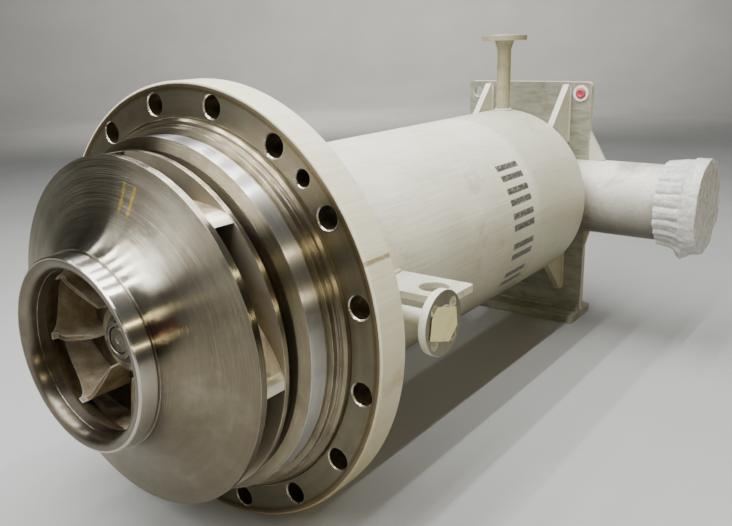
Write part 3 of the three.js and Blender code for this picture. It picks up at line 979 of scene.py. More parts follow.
@dataclass(frozen=True)
class TurnedSteel:
    """Lathe-turned steel, with rings round the shaft that draw reflections out into streaks."""

    name: str
    light: Colour
    dark: Colour
    stain: Colour = tint(92, 76, 50)
    roughness: float = 0.26
    anisotropy: float = 0.75
    ring_height: float = 0.00006
    stain_level: float = 0.58
    stain_share: float = 0.5
    stain_roughness: float = 0.05
    marks: tuple[Mark, ...] = ()

    def build(self) -> Finish:
        """Builds the material.

        Returns:
            The material.
        """
        material, sketch, shader, where = new_material(self.name)
        tangent = sketch.node("Tangent", direction_type="RADIAL", axis="X")
        sketch.feed(shader, {"Metallic": 1.0, "Anisotropic": self.anisotropy,
                             "Anisotropic Rotation": 0.25, "Tangent": tangent.outputs[0]})
        rings = sketch.group(EFFECTS.turning, Vector=where)
        cloud = sketch.noise(where, 5.0, 4.0, 0.6)
        tone = sketch.math("MULTIPLY_ADD", sketch.spread(rings.outputs["Broad"], *WIDE), 0.45,
                           sketch.times(sketch.spread(cloud, *MIDDLE), 0.55))
        colour = sketch.mix(tone, self.light, self.dark)
        stain = sketch.group(EFFECTS.patches, Vector=where, Scale=5.5, Level=self.stain_level,
                             Softness=0.16).outputs[0]
        colour = sketch.mix(sketch.times(stain, self.stain_share), colour, self.stain)
        colour = marked(sketch, where, colour, self.marks)
        worn = sketch.group(EFFECTS.edge_wear, Vector=where, Width=0.0012, Breakup=35.0)
        scratch = sketch.group(EFFECTS.scratches, Vector=where, Level=0.69)
        scratched = sketch.times(scratch.outputs[0], 0.1)
        bright = sketch.math("MAXIMUM", worn.outputs[0], scratched)
        stained = sketch.math("MULTIPLY_ADD", stain, self.stain_roughness, self.roughness)
        fine = sketch.spread(rings.outputs["Fine"], *WIDE, -0.02, 0.03)
        sketch.feed(shader, {"Base Color": sketch.mix(bright, colour, tint(214, 212, 204)),
                             "Roughness": sketch.math("ADD", stained, fine),
                             "Normal": sketch.bump(rings.outputs["Fine"], self.ring_height, 0.5)})
        return material


@dataclass(frozen=True)
class CastSteel:
    """Rough cast steel, browned in service, ground bright beyond a radius where it has one."""

    name: str
    brown: Colour
    dark: Colour
    bright: Colour = tint(206, 203, 194)
    ground_from: float = 900
    ground_to: float = 901
    roughness: float = 0.46
    metallic: float = 0.9

    def build(self) -> Finish:
        """Builds the material.

        Returns:
            The material.
        """
        material, sketch, shader, where = new_material(self.name)
        grain = sketch.noise(where, 38.0, 6.0, 0.65)
        skin = sketch.mix(sketch.spread(grain, *MIDDLE), self.brown, self.dark)
        smudge = sketch.group(EFFECTS.patches, Vector=where, Scale=16.0, Level=0.56, Softness=0.1)
        skin = sketch.mix(sketch.times(smudge.outputs[0], 0.6), skin, tint(58, 48, 34))
        polar = sketch.group(EFFECTS.polar, Vector=where)
        ground = sketch.spread(polar.outputs["Radius"], self.ground_from * MM, self.ground_to * MM)
        ground = sketch.times(ground, sketch.spread(grain, 0.25, 0.45, 0.6, 1.0))
        worn = sketch.group(EFFECTS.edge_wear, Vector=where, Width=0.0022, Breakup=60.0)
        shine = sketch.math("MAXIMUM", ground, worn.outputs[0])
        matt = sketch.math("MULTIPLY_ADD", sketch.spread(grain, *WIDE), 0.14, self.roughness)
        sketch.feed(shader, {"Metallic": self.metallic,
                             "Base Color": sketch.mix(shine, skin, self.bright),
                             "Roughness": sketch.math("MULTIPLY_ADD", shine, -0.12, matt),
                             "Normal": sketch.bump(grain, 0.0009, 0.45)})
        return material


@dataclass(frozen=True)
class GreyPrimer:
    """Mottled matt primer with wipe marks, on the rear plate."""

    name: str
    light: Colour
    dark: Colour

    def build(self) -> Finish:
        """Builds the material.

        Returns:
            The material.
        """
        material, sketch, shader, where = new_material(self.name)
        wiped = sketch.node("Mapping", {"Vector": where, "Rotation": (0.5, 0, 0), "Scale": (1, 1, 3.5)})
        mottle = sketch.noise(wiped.outputs[0], 17.0, 7.0, 0.68, 0.6)
        colour = sketch.mix(sketch.spread(mottle, 0.36, 0.62), self.light, self.dark)
        grime_and_shade = sketch.group(EFFECTS.patches, Vector=where, Scale=9.0, Level=0.6, Softness=0.1)
        colour = sketch.mix(sketch.times(grime_and_shade.outputs[0], 0.5), colour, tint(96, 88, 70))
        worn = sketch.group(EFFECTS.edge_wear, Vector=where, Width=0.002, Breakup=50.0)
        sketch.feed(shader, {"Base Color": sketch.mix(worn.outputs[0], colour, tint(205, 203, 190)),
                             "Roughness": sketch.spread(mottle, *WIDE, 0.52, 0.72),
                             "Normal": sketch.bump(mottle, 0.0008, 0.4)})
        return material


@dataclass(frozen=True)
class PlainPlastic:
    """Moulded plastic, or tape, with faint grain and handling marks."""

    name: str
    colour: Colour
    soil: Colour
    roughness: float = 0.45
    grain: float = 180.0

    def build(self) -> Finish:
        """Builds the material.

        Returns:
            The material.
        """
        material, sketch, shader, where = new_material(self.name)
        grain = sketch.noise(where, self.grain, 3.0)
        soil = sketch.group(EFFECTS.patches, Vector=where, Scale=45.0, Level=0.5, Softness=0.2)
        share = sketch.times(soil.outputs[0], 0.5)
        sketch.feed(shader, {"Base Color": sketch.mix(share, self.colour, self.soil),
                             "Roughness": sketch.math("MULTIPLY_ADD", grain, 0.16, self.roughness),
                             "Normal": sketch.bump(grain, 0.0004, 0.3)})
        return material


@dataclass(frozen=True)
class WrappingFilm:
    """Thin cloudy plastic film, crumpled, that lets what is under it show through in places."""

    name: str
    colour: Colour
    cloud: Colour

    def build(self) -> Finish:
        """Builds the material.

        Returns:
            The material.
        """
        material, sketch, shader, where = new_material(self.name)
        folds, fine = (sketch.node("TexVoronoi", {"Vector": where, "Scale": scale},
                                   feature="DISTANCE_TO_EDGE").outputs[0] for scale in (42.0, 105.0))
        cloud = sketch.noise(where, 26.0, 5.0, 0.65, 0.8)
        thick = sketch.math("ADD", sketch.spread(cloud, 0.32, 0.66, 0.42, 0.9),
                            sketch.spread(folds, 0.0, 0.05, 0.3, 0.0))
        broad = sketch.bump(folds, 0.006, 0.6)
        sketch.feed(shader, {
            "IOR": 1.48, "Alpha": sketch.math("MINIMUM", thick, 0.96),
            "Base Color": sketch.mix(sketch.spread(cloud, *MIDDLE), self.colour, self.cloud),
            "Roughness": sketch.spread(cloud, *WIDE, 0.12, 0.3),
            "Normal": sketch.bump(fine, 0.0022, 0.5, broad)})
        return material


@dataclass(frozen=True)
class PaleFloor:
    """A plain pale floor."""

    name: str = "pale_floor"
    colour: Colour = tint(152, 151, 147)
    shade: Colour = tint(146, 145, 141)

    def build(self) -> Finish:
        """Builds the material.

        Returns:
            The material.
        """
        material, sketch, shader, where = new_material(self.name)
        cloud = sketch.noise(where, 1.5, 3.0)
        sketch.feed(shader, {
            "Base Color": sketch.mix(sketch.spread(cloud, *MIDDLE), self.colour, self.shade),
            "Roughness": sketch.spread(cloud, *WIDE, 0.62, 0.72)})
        return material


def stencil_bars() -> tuple[Mark, ...]:
    """Lays out the plain black bars painted round the barrel.

    Returns:
        The bars.
    """
    angles = [middle + side * 3.2 for middle in (35, 21, 7, -10, -28) for side in (-1, 1)]
    black = tint(44, 44, 38)
    return tuple(Mark(MarkAxis.STATION, 703, 46, angle, 1.5, black, 2.0, 0.95) for angle in angles)


def shroud_marks() -> tuple[Mark, ...]:
    """Lays out the impeller's brown stain, its yellow strokes and its faint red smear.

    Returns:
        The marks.
    """
    yellow = tint(206, 178, 74)
    strokes = [Mark(MarkAxis.RADIUS, 211, 19, angle, 0.55, yellow, 0.8, 0.95) for angle in (75.2, 80.6)]
    return (Mark(MarkAxis.RADIUS, 200, 72, -52, 72, tint(96, 86, 67), 42.0, 0.72, 9.0), *strokes,
            Mark(MarkAxis.RADIUS, 150, 9, 22.5, 2.4, tint(134, 84, 66), 6.0, 0.5))


class Finishes:
    """All the finishes of the unit, built once."""

    def __init__(self) -> None:
        """Builds every material."""
        # The darker lower sides set here are painted shade, with some dirt.
        self.barrel = PaintedSteel(
            "barrel_paint", tint(227, 223, 206), tint(194, 190, 164), grime_and_shade=tint(96, 90, 62),
            underside_shade_share=0.97, underside_shade_top=80,
            # The first mark is painted shade: a darker band all round the barrel's rear end.
            marks=(Mark(MarkAxis.STATION, 915, 120, 0, 180, tint(168, 166, 138), 24.0, 0.45),
                   *stencil_bars())).build()
        self.rim = PaintedSteel(
            "flange_rim_paint", tint(227, 222, 198), tint(203, 197, 160), smudge=tint(158, 132, 78),
            smudge_level=0.60, grime_and_shade=tint(128, 113, 62), underside_shade_share=0.95, underside_shade_top=80,
            underside_shade_depth=270,
            marks=(Mark(MarkAxis.STATION, 28, 29, 20.8, 0.35, tint(134, 104, 56), 1.2, 0.8),
                   Mark(MarkAxis.RADIUS, 344.5, 1.2, 0, 180, tint(140, 112, 62), 3.0, 0.7))).build()
        self.fittings = PaintedSteel(
            "fittings_paint", tint(204, 200, 182), tint(172, 167, 142), smudge=tint(118, 98, 70),
            smudge_level=0.56, smudge_scale=14.0, stroke_height=0.0008, wear_width=0.0022,
            underside_shade_share=0.7).build()
        self.vent = PaintedSteel(
            "vent_paint", tint(166, 160, 131), tint(136, 129, 101), smudge=tint(112, 96, 66),
            smudge_level=0.56, smudge_scale=14.0, stroke_height=0.0008, wear_width=0.0022).build()
        self.nozzle = PaintedSteel(
            "nozzle_paint", tint(222, 217, 204), tint(172, 162, 141), smudge=tint(104, 88, 70),
            smudge_level=0.52, smudge_scale=9.0, stroke_height=0.0007, roughness=0.36,
            grime_and_shade=tint(70, 65, 52), underside_shade_share=0.97, underside_shade_top=78, underside_shade_depth=100).build()
        self.plate = GreyPrimer("plate_primer", tint(144, 142, 125), tint(114, 112, 95)).build()
        self.shroud = TurnedSteel(
            "shroud_steel", tint(170, 163, 146), tint(122, 114, 95), stain=tint(84, 71, 50),
            roughness=0.21, anisotropy=1.0, ring_height=0.0012, marks=shroud_marks()).build()
        self.ring = TurnedSteel(
            "wear_ring_steel", tint(214, 209, 198), tint(176, 168, 152), roughness=0.23,
            anisotropy=1.0, stain_share=0.3).build()
        self.eye_bore = TurnedSteel(
            "eye_bore_steel", tint(130, 122, 107), tint(92, 85, 72), stain=tint(70, 61, 46),
            roughness=0.3, anisotropy=0.9).build()
        self.cover = TurnedSteel(
            "cover_steel", tint(166, 156, 132), tint(118, 106, 82), stain=tint(78, 62, 38),
            roughness=0.28, anisotropy=0.97, stain_level=0.52, stain_share=0.7).build()
        self.register = TurnedSteel(
            "register_steel", tint(224, 225, 228), tint(196, 193, 185), roughness=0.29,
            anisotropy=0.97, stain_share=0.15).build()
        self.face = TurnedSteel(
            "flange_face_steel", tint(130, 124, 105), tint(102, 95, 76), stain=tint(82, 68, 44),
            roughness=0.34, anisotropy=0.8, stain_level=0.54,
            marks=(Mark(MarkAxis.RADIUS, 339, 1.3, 0, 180, tint(96, 74, 40), 2.2, 0.75),)).build()
        self.chamfer = TurnedSteel(
            "chamfer_steel", tint(186, 180, 164), tint(152, 145, 126), roughness=0.26,
            stain_share=0.2).build()
        self.tip = TurnedSteel(
            "vane_tip_steel", tint(232, 228, 212), tint(208, 200, 170), roughness=0.34, anisotropy=0.6,
            stain_share=0.2).build()
        self.bore = CastSteel("bore_steel", tint(92, 78, 54), tint(50, 42, 30)).build()
        self.nut = CastSteel("nut_steel", tint(108, 101, 87), tint(74, 68, 57), roughness=0.4).build()
        self.passage = CastSteel("passage_steel", tint(184, 170, 142), tint(132, 118, 92),
                                 metallic=0.45).build()
        self.disc = CastSteel("disc_steel", tint(136, 124, 102), tint(98, 87, 68),
                              bright=tint(158, 148, 128), ground_from=225, ground_to=245,
                              metallic=0.8).build()
        self.inside = CastSteel("shroud_inside_steel", tint(126, 110, 84), tint(84, 72, 54)).build()
        self.red = PlainPlastic("plug_plastic", tint(176, 62, 74), tint(110, 38, 44)).build()
        self.pale = PlainPlastic("washer_plastic", tint(222, 212, 204), tint(176, 160, 148)).build()
        self.tape = PlainPlastic("masking_tape", tint(222, 214, 158), tint(190, 176, 118), 0.6,
                                 260.0).build()
        self.film = WrappingFilm("wrapping_film", tint(226, 225, 220), tint(188, 184, 174)).build()
        self.floor = PaleFloor().build()


@dataclass
class Assembly:
    """A sub-assembly: its body, the gap between its pieces, and the finishes of the unit."""

    body: ClassVar[Body] = Body.UNIT
    gap: ClassVar[float] = 0.3
    finishes: Finishes

    def _settle(self, piece: Piece, finish: Finish, slot: Slot, *nodes: str,
                others: Sequence[tuple[Finish, FaceTest]] = ()) -> None:
        """Dresses a piece and delivers it on the sub-assembly's body.

        Args:
            piece: The piece.
            finish: The finish of every face that passes no test.
            slot: The record's slot that the finish comes from.
            *nodes: The nodes that it stands for.
            others: Further finishes, each with a test of a face's middle and normal.
        """
        Bench.dress(piece, finish, *others)
        Bench.deliver(piece, self.body, slot, *nodes)


@dataclass
class MotorFlange(Assembly):
    """The thick bolting flange, machined in front and painted round the rim."""

    radius: float = 350
    thickness: float = 56
    bore: float = 297
    edge: float = 4
    bolt_circle: float = 320.5
    bolt_count: int = 16
    bolt_radius: float = 16.5
    first_bolt: float = 11.25
    jack_radius: float = 12
    jack_angles: tuple[float, ...] = (45, 225)
    paint_lip: float = 345
    face_depth: float = 0.2

    def build(self) -> None:
        """Turns the ring, drills it and dresses its faces."""
        ring = Bench.turned("bolting_flange", SHAFT, rounded(
            section(0, self.thickness, self.radius, self.bore), self.edge, 4))
        hole = SHAFT.parallel(0, self.bolt_circle, turn_at(self.first_bolt))
        first = Bench.drill(hole, 0, self.thickness, self.bolt_radius)
        drills = Bench.repeated(first, SHAFT, self.bolt_count, -1)
        for angle in self.jack_angles:
            jack = SHAFT.parallel(0, self.bolt_circle, turn_at(angle))
            drills.append(Bench.drill(jack, 0, self.thickness, self.jack_radius))
        Bench.combine(ring, drills)
        inner = under(self.radius - self.edge)
        self._settle(ring, self.finishes.rim, Slot.CREAM, "motor_flange", others=(
            (self.finishes.face, zone(under(self.face_depth), under(self.paint_lip), under(-FACING))),
            (self.finishes.bore, zone(over(1), inner, (-0.2, 0.2))),
            (self.finishes.chamfer, zone((self.face_depth, DRILL_MOUTH), inner, (-0.95, 0.95)))))


@dataclass
class CasingCover(Assembly):
    """The cover behind the impeller, with its polished register and stepped shoulders."""

    face: float = -62
    face_radius: float = 258
    register_start: float = -55
    register_radius: float = 276
    shoulder: float = -22
    shoulder_radius: float = 288
    rim: float = -9
    outer: float = 296.7
    back: float = 39.7
    bore: float = 52
    relief: float = 2
    relief_width: float = 3.5
    step: float = 2.5
    outer_edge: float = 3.5
    bush_bore: float = 35.9

    def build(self) -> None:
        """Turns the cover and the bush in its bore."""
        relief = self.register_radius - self.relief
        relief_start = self.shoulder - self.relief_width
        low_step = self.shoulder_radius - self.step
        step_start = self.rim - 4
        cover = Bench.turned("register_cover", SHAFT, rounded([
            (self.face, self.bore), (self.face, self.face_radius),
            (self.register_start, self.register_radius), (relief_start, self.register_radius),
            (relief_start, relief), (self.shoulder, relief),
            (self.shoulder, low_step), (step_start, low_step), (step_start, self.shoulder_radius),
            (self.rim, self.shoulder_radius), (self.rim, self.outer - self.outer_edge),
            (self.rim + self.outer_edge, self.outer), (self.back, self.outer),
            (self.back, self.bore)], 0.8))
        self._settle(cover, self.finishes.cover, Slot.MACHINED, "casing_cover", others=(
            (self.finishes.register, zone((self.register_start, relief_start + 1), over(relief - 1))),))
        bush = Bench.turned("shaft_sleeve", SHAFT, rounded(
            section(self.face + 2, self.back, self.bore - self.gap, self.bush_bore), 1.2), PIPE_STEPS)
        self._settle(bush, self.finishes.register, Slot.POLISHED, "shaft_bush")


@dataclass
class MotorShell(Assembly):
    """The tapered neck and the long barrel of the motor."""

    plate_front: float = 40
    plate_radius: float = 296.7
    flange_back: float = 56
    neck_radius: float = 236
    fillet: float = 14
    taper_end: float = 190
    bend_reach: float = 12
    bend_rise: float = 1.9
    barrel_radius: float = 217
    seam: float = 230
    barrel_end: float = 1037
    end_radius: float = 4
    bead: float = 3.2

    def build(self) -> None:
        """Turns the neck and the barrel, and lays the weld between them."""
        start = self.flange_back + self.fillet
        sweep = curve((self.flange_back, self.neck_radius + self.fillet),
                      (self.flange_back + 1, self.neck_radius + 1), (start, self.neck_radius), 6)
        bend = curve((self.taper_end - self.bend_reach, self.barrel_radius + self.bend_rise),
                     (self.taper_end, self.barrel_radius),
                     (self.taper_end + self.bend_reach, self.barrel_radius), 6)
        neck = Bench.turned("tapered_neck", SHAFT, [
            (self.plate_front, 0), (self.plate_front, self.plate_radius),
            (self.flange_back, self.plate_radius), *sweep, *bend,
            (self.seam - self.gap, self.barrel_radius), (self.seam - self.gap, 0)])
        self._settle(neck, self.finishes.barrel, Slot.CREAM, "motor_neck")
        barrel = Bench.turned("motor_shell", SHAFT, rounded(
            section(self.seam, self.barrel_end, self.barrel_radius), self.end_radius, 4))
        self._settle(barrel, self.finishes.barrel, Slot.CREAM, "motor_barrel")
        sunk = self.barrel_radius - self.bead * 0.45
        seam = Bench.bead_ring("neck_weld", SHAFT, self.seam, sunk, self.bead)
        self._settle(seam, self.finishes.barrel, Slot.CREAM)


@dataclass
class RearStand(Assembly):
    """The rear housing with its cover, and the plate, foot and gussets that carry it."""

    housing_start: float = 1037.3
    housing_end: float = 1275
    housing_radius: float = 160
    cover_radius: float = 172
    cover_thickness: float = 24
    boss_radius: float = 95
    boss_length: float = 24
    boss_draft: float = 11
    housing_weld: float = 4.5
    screw_count: int = 8
    screw_circle: float = 146
    screw_radius: float = 10
    screw_height: float = 7.5
    washer_margin: float = 3
    washer_height: float = 2
    plate_start: float = 1155
    plate_thickness: float = 18
    half_width: float = 173
    plate_top: float = 278
    plate_corner: float = 14
    foot_thickness: float = 22
    foot_length: float = 130
    foot_weld: float = 5
    lift_radius: float = 13
    lift_across: float = 147
    lift_up: float = 250
    gusset_across: float = 110
    gusset_thickness: float = 16
    gusset_root: float = 100
    gusset_drop: float = 6
    gusset_tip: float = 10
    gusset_front: float = 159
    gusset_weld: float = 3.5
    nozzle_radius: float = 93
    nozzle_root: float = 20
    nozzle_reach: float = 300
    ring_bore: float = 13
    ring_radius: float = 20
    ring_thickness: float = 4
    plug_reach: float = 8
    plug_outline: tuple[Point, ...] = (
        (3, 0), (2.6, 4.5), (0.8, 6), (0, 7.5), (0.2, 9), (1.2, 11.2), (3, 12.4), (5, 12.7), (13, 12.7),
        (14, 11.7), (14, 0))

    def build(self) -> None:
        """Builds every piece of the rear end."""
        self._housing()
        self._plate()
        self._foot()
        for side, side_name in ((1, "far"), (-1, "near")):
            for up, up_name in ((1, "upper"), (-1, "lower")):
                self._gusset(side, up, f"{up_name}_{side_name}")
        self._plug()

    def _housing_tool(self) -> Piece:
        """Makes the tool that clears the housing's space."""
        space = section(self.housing_start - 20, self.housing_end, self.housing_radius + self.gap)
        return Bench.turned("housing_space", SHAFT, space)

    def _housing(self) -> None:
        """Turns the housing and its end cover, with the cover's screws."""
        housing = Bench.turned("rear_barrel", SHAFT, rounded(
            section(self.housing_start, self.housing_end, self.housing_radius), 2))
        self._settle(housing, self.finishes.barrel, Slot.CREAM, "rear_housing")
        weld = Bench.bead_ring("housing_weld", SHAFT, self.housing_start + 2, self.housing_radius + 1,
                               self.housing_weld)
        self._settle(weld, self.finishes.barrel, Slot.CREAM)
        start = self.housing_end + self.gap
        face = start + self.cover_thickness
        boss = face + self.boss_length
        cover = Bench.turned("end_cover", SHAFT, rounded([
            (start, 0), (start, self.cover_radius), (face, self.cover_radius), (face, self.boss_radius),
            (boss, self.boss_radius - self.boss_draft), (boss, 0)], 3, 4))
        self._settle(cover, self.finishes.fittings, Slot.CREAM, "rear_cover")
        self._screws(face)

    def _screws(self, face: float) -> None:
        """Sets one hexagon screw on a washer in the end cover, and copies it round.

        Args:
            face: The station of the cover's face.
        """
        line = SHAFT.parallel(face, self.screw_circle, 0)
        washer = Bench.turned("screw_washer", line, rounded(
            section(0, self.washer_height, self.screw_radius + self.washer_margin), 0.5), 24)
        Bench.clear()
        bpy.ops.mesh.primitive_cylinder_add(
            vertices=6, radius=self.screw_radius * MM, depth=self.screw_height * MM,
            location=line.point(self.washer_height + self.screw_height / 2, 0),
            rotation=(0, math.pi / 2, 0))
        head = Bench.begin("screw_head")
        Bench.close()
        Bench.ease(head, 0.9, 2)
        first = Bench.joined([washer, head], "cover_screws")
        ring = Bench.joined(Bench.repeated(first, SHAFT, self.screw_count), "cover_screws")
        self._settle(ring, self.finishes.fittings, Slot.CREAM)

    def _plate(self) -> None:
        """Cuts the upright plate, its two lifting holes and the spaces of the pipes through it."""
        floor = -SHAFT_HEIGHT / MM + self.foot_thickness + self.gap
        steps = 6
        corners = rounded([(self.half_width, self.plate_top), (-self.half_width, self.plate_top),
                           (-self.half_width, floor), (self.half_width, floor)],
                          self.plate_corner, steps)
        top = corners[:2 * (steps + 1)]
        outline = [*top, (-self.half_width, floor), (self.half_width, floor)]
        plate = Bench.slab("upright_plate", [at(self.plate_start, y, z) for y, z in outline],
                           X_AXIS * (self.plate_thickness * MM))
        end = self.plate_start + self.plate_thickness
        drills = [Bench.drill(Line(at(0, side * self.lift_across, self.lift_up), X_AXIS, Z_AXIS),
                              self.plate_start, end, self.lift_radius) for side in (-1, 1)]
        Bench.combine(plate, drills)
        Bench.combine(plate, [self._housing_tool()])
        nozzle = Bench.turned("nozzle_space", SIDE_NOZZLE, section(
            self.nozzle_root, self.nozzle_reach, self.nozzle_radius + self.gap), PIPE_STEPS)
        Bench.combine(plate, [nozzle])
        Bench.ease(plate, 1.4)
        self._settle(plate, self.finishes.plate, Slot.PRIMER, "rear_plate", others=(
            (self.finishes.fittings, zone(facing=(-0.8, 0.8))),))

    def _foot(self) -> None:
        """Cuts the foot and lays the welds between it and the plate."""
        bottom = -SHAFT_HEIGHT / MM
        middle = self.plate_start + self.plate_thickness / 2
        low, high = middle - self.foot_length / 2, middle + self.foot_length / 2
        corners = rounded([(low, -self.half_width), (high, -self.half_width), (high, self.half_width),
                           (low, self.half_width)], 8, 4)
        foot = Bench.slab("stand_foot", [at(x, y, bottom) for x, y in corners],
                          Z_AXIS * (self.foot_thickness * MM))
        Bench.ease(foot, 1.6)
        self._settle(foot, self.finishes.plate, Slot.PRIMER, "rear_foot")
        top = bottom + self.foot_thickness + 1.5
        reach = self.half_width - 5
        end = self.plate_start + self.plate_thickness
        runs = [Bench.bead_run("run", at(x, -reach, top), at(x, reach, top), self.foot_weld)
                for x in (self.plate_start - 1, end + 1)]
        self._settle(Bench.joined(runs, "foot_welds"), self.finishes.plate, Slot.PRIMER)

    def _gusset(self, side: int, up: int, name: str) -> None:
        """Cuts one stiffener and welds it to the plate.

        Args:
            side: 1 on the far side of the shaft and -1 on the near side.
            up: 1 above the shaft and -1 below it.
            name: Where it is, as in the node's name.
        """
        front, back = self.housing_start, self.plate_start - self.gap
        top = self.plate_top - self.gusset_drop
        start = side * self.gusset_across - self.gusset_thickness / 2
        corners = [(front, up * self.gusset_root), (back, up * self.gusset_root), (back, up * top),
                   (back - self.gusset_tip, up * top), (front, up * self.gusset_front)]
        gusset = Bench.slab(f"stiffener_{name}", [at(x, start, z) for x, z in corners],
                            Y_AXIS * (self.gusset_thickness * MM))
        Bench.combine(gusset, [self._housing_tool()])
        Bench.ease(gusset, 1.2)
        self._settle(gusset, self.finishes.fittings, Slot.CREAM, f"gusset_{name}")
        edges = (start - 1, start + self.gusset_thickness + 1)
        root = up * (self.gusset_root + 28)
        tip = up * (top - 4)
        runs = [Bench.bead_run("run", at(back - 1.5, edge, root), at(back - 1.5, edge, tip),
                               self.gusset_weld) for edge in edges]
        self._settle(Bench.joined(runs, f"stiffener_welds_{name}"), self.finishes.fittings, Slot.CREAM)

    def _plug(self) -> None:
        """Turns the red plug of the near lifting hole and the washer round it."""
        line = Line(at(0, -self.lift_across, self.lift_up), X_AXIS, Z_AXIS)
        back = self.plate_start - self.gap
        ring = section(back - self.ring_thickness, back, self.ring_radius, self.ring_bore)
        washer = Bench.turned("plug_washer", line, rounded(ring, 1), SMALL_STEPS)
        self._settle(washer, self.finishes.pale, Slot.PALE, "lift_hole_washer")
        tip = self.plate_start - self.plug_reach
        outline = [(tip + along, radius) for along, radius in self.plug_outline]
        plug = Bench.turned("hole_plug", line, outline, SMALL_STEPS)
        self._settle(plug, self.finishes.red, Slot.RED, "lift_hole_plug")


@dataclass
class SideNozzle(Assembly):
    """The big side connection: its pipe, its flange, two webs and the film wrapped round the flange."""

    radius: float = 93
    root: float = 100
    face: float = 465
    flange_radius: float = 110
    flange_thickness: float = 24
    plate_face: float = 1158
    web_thickness: float = 12
    web_edge: float = 173.3
    web_root: float = 70
    upper_edge: float = 158
    upper_reach: float = 224
    lower_edge: float = -150
    lower_reach: float = 196
    housing_radius: float = 160
    saddle_weld: float = 4.5
    film_gap: float = 1.4
    film_flat: tuple[float, float] = (0.34, 0.34)
    gather_start: float = 430
    gather_end: float = 372
    pleats: int = 23
    fine_pleats: int = 41
    pleat_lift: float = 2.6
    pleat_depth: float = 2.4
    tip_angle: float = 200
    tip_drop: float = 24
    film_steps: int = 220

    def build(self) -> None:
        """Builds the pipe with its weld, the flange, the webs and the film."""
        back = self.face - self.flange_thickness
        neck = curve((back - 34, self.radius), (back - 14, self.radius),
                     (back - 0.4, self.radius + 6), 6)
        pipe = Bench.turned("side_pipe", SIDE_NOZZLE, [
            (self.root, 0), (self.root, self.radius), *neck, (back - self.gap, 0)], PIPE_STEPS * 2)
        self._settle(pipe, self.finishes.nozzle, Slot.CREAM, "side_nozzle_pipe")
        flange = Bench.turned("side_flange", SIDE_NOZZLE, rounded(
            section(back, self.face, self.flange_radius), 2), PIPE_STEPS * 2)
        self._settle(flange, self.finishes.nozzle, Slot.CREAM, "side_nozzle_flange")
        self._saddle_weld()
        self._web("upper", self.upper_edge, self.upper_reach)
        self._web("lower", self.lower_edge, self.lower_reach)
        self._film()

    def _saddle_weld(self) -> None:
        """Lays the weld where the pipe leaves the housing."""
        points = []
        for k in range(FINE_STEPS):
            turn = FULL_TURN * k / FINE_STEPS
            up = (SIDE_NOZZLE.point(0, self.radius + 1, turn).z - SHAFT_HEIGHT) / MM
            reach = math.sqrt(self.housing_radius ** 2 - up ** 2)
            points.append(SIDE_NOZZLE.point(reach, self.radius + 1, turn))
        weld = Bench.bead("saddle_weld", points, self.saddle_weld)
        self._settle(weld, self.finishes.nozzle, Slot.CREAM)

    def _web(self, name: str, plate_edge: float, reach: float) -> None:
        """Cuts one web between the plate's edge and the pipe.

        Args:
            name: Whether it is the upper or the lower one.
            plate_edge: How high over the shaft it starts on the plate.
            reach: How far from the shaft's plane it ends on the pipe.
        """
        root = math.copysign(self.web_root, plate_edge)
        corners = [(-self.web_edge, plate_edge), (-reach, root), (-self.web_edge, root)]
        web = Bench.slab(f"web_{name}", [at(self.plate_face, y, z) for y, z in corners],
                         X_AXIS * (self.web_thickness * MM))
        space = Bench.turned("pipe_space", SIDE_NOZZLE, section(
            self.root, self.face, self.radius + self.gap), PIPE_STEPS)
        Bench.combine(web, [space])
        Bench.ease(web, 1.2)
        self._settle(web, self.finishes.fittings, Slot.CREAM, f"nozzle_web_{name}")

    def _film(self) -> None:
        """Turns the film as a cup over the flange, gathers it on the pipe and crumples it."""
        back = self.face - self.flange_thickness
        rim = self.flange_radius + self.film_gap
        front = self.face + self.film_gap
        rings = 26
        face = [(front, rim * k / rings) for k in range(rings)]
        side = [(front - self.flange_thickness * k / 6, rim) for k in range(7)]
        skirt = curve((back - 3, rim), (self.gather_start, self.radius + 4),
                      (self.gather_end, self.radius + 2), 16)
        film = Bench.turned("flange_wrapping", SIDE_NOZZLE, [*face, *side, *skirt], self.film_steps,
                            closed=False)
        self._gather(film, back)
        for name, size, height in (("broad_crumple", 0.05, 7), ("fine_crumple", 0.018, 3)):
            pattern = bpy.data.textures.new(name, "VORONOI")
            pattern.noise_scale = size
            Bench.apply(film, "DISPLACE", texture=pattern, strength=height * MM, mid_level=0.12)
        Bench.apply(film, "SOLIDIFY", thickness=0.35 * MM, offset=1)
        bpy.ops.object.shade_smooth_by_angle(angle=math.radians(FILM_SMOOTH_ANGLE))
        self._settle(film, self.finishes.film, Slot.FILM, "side_nozzle_film")

    def _gather(self, film: Piece, back: float) -> None:
        """Pleats the film behind the flange, and draws out the loose corner under it.

        Args:
            film: The film's piece.
            back: The station of the flange's back.
        """
        for vertex in film.data.vertices:
            station, _ = SIDE_NOZZLE.place(vertex.co)
            spoke = vertex.co - SIDE_NOZZLE.origin
            spoke = (spoke - SIDE_NOZZLE.along * spoke.dot(SIDE_NOZZLE.along)).normalized()
            turn = math.atan2(spoke.x, spoke.z)
            behind = max(0.0, min(1.0, (back + 6 - station) / 24))
            wander = 1.3 * math.sin(3 * turn + 0.6)
            wave = math.sin(self.pleats * turn + wander) + 0.5 * math.sin(self.fine_pleats * turn + 2.0)
            apart = (math.degrees(turn) - self.tip_angle + 180) % 360 - 180
            near = math.exp(-(apart / 9) ** 2) * math.exp(-((station - back + 14) / 13) ** 2)
            lift = behind * (self.pleat_lift + self.pleat_depth * wave) + self.tip_drop * near
            vertex.co += spoke * (lift * MM)


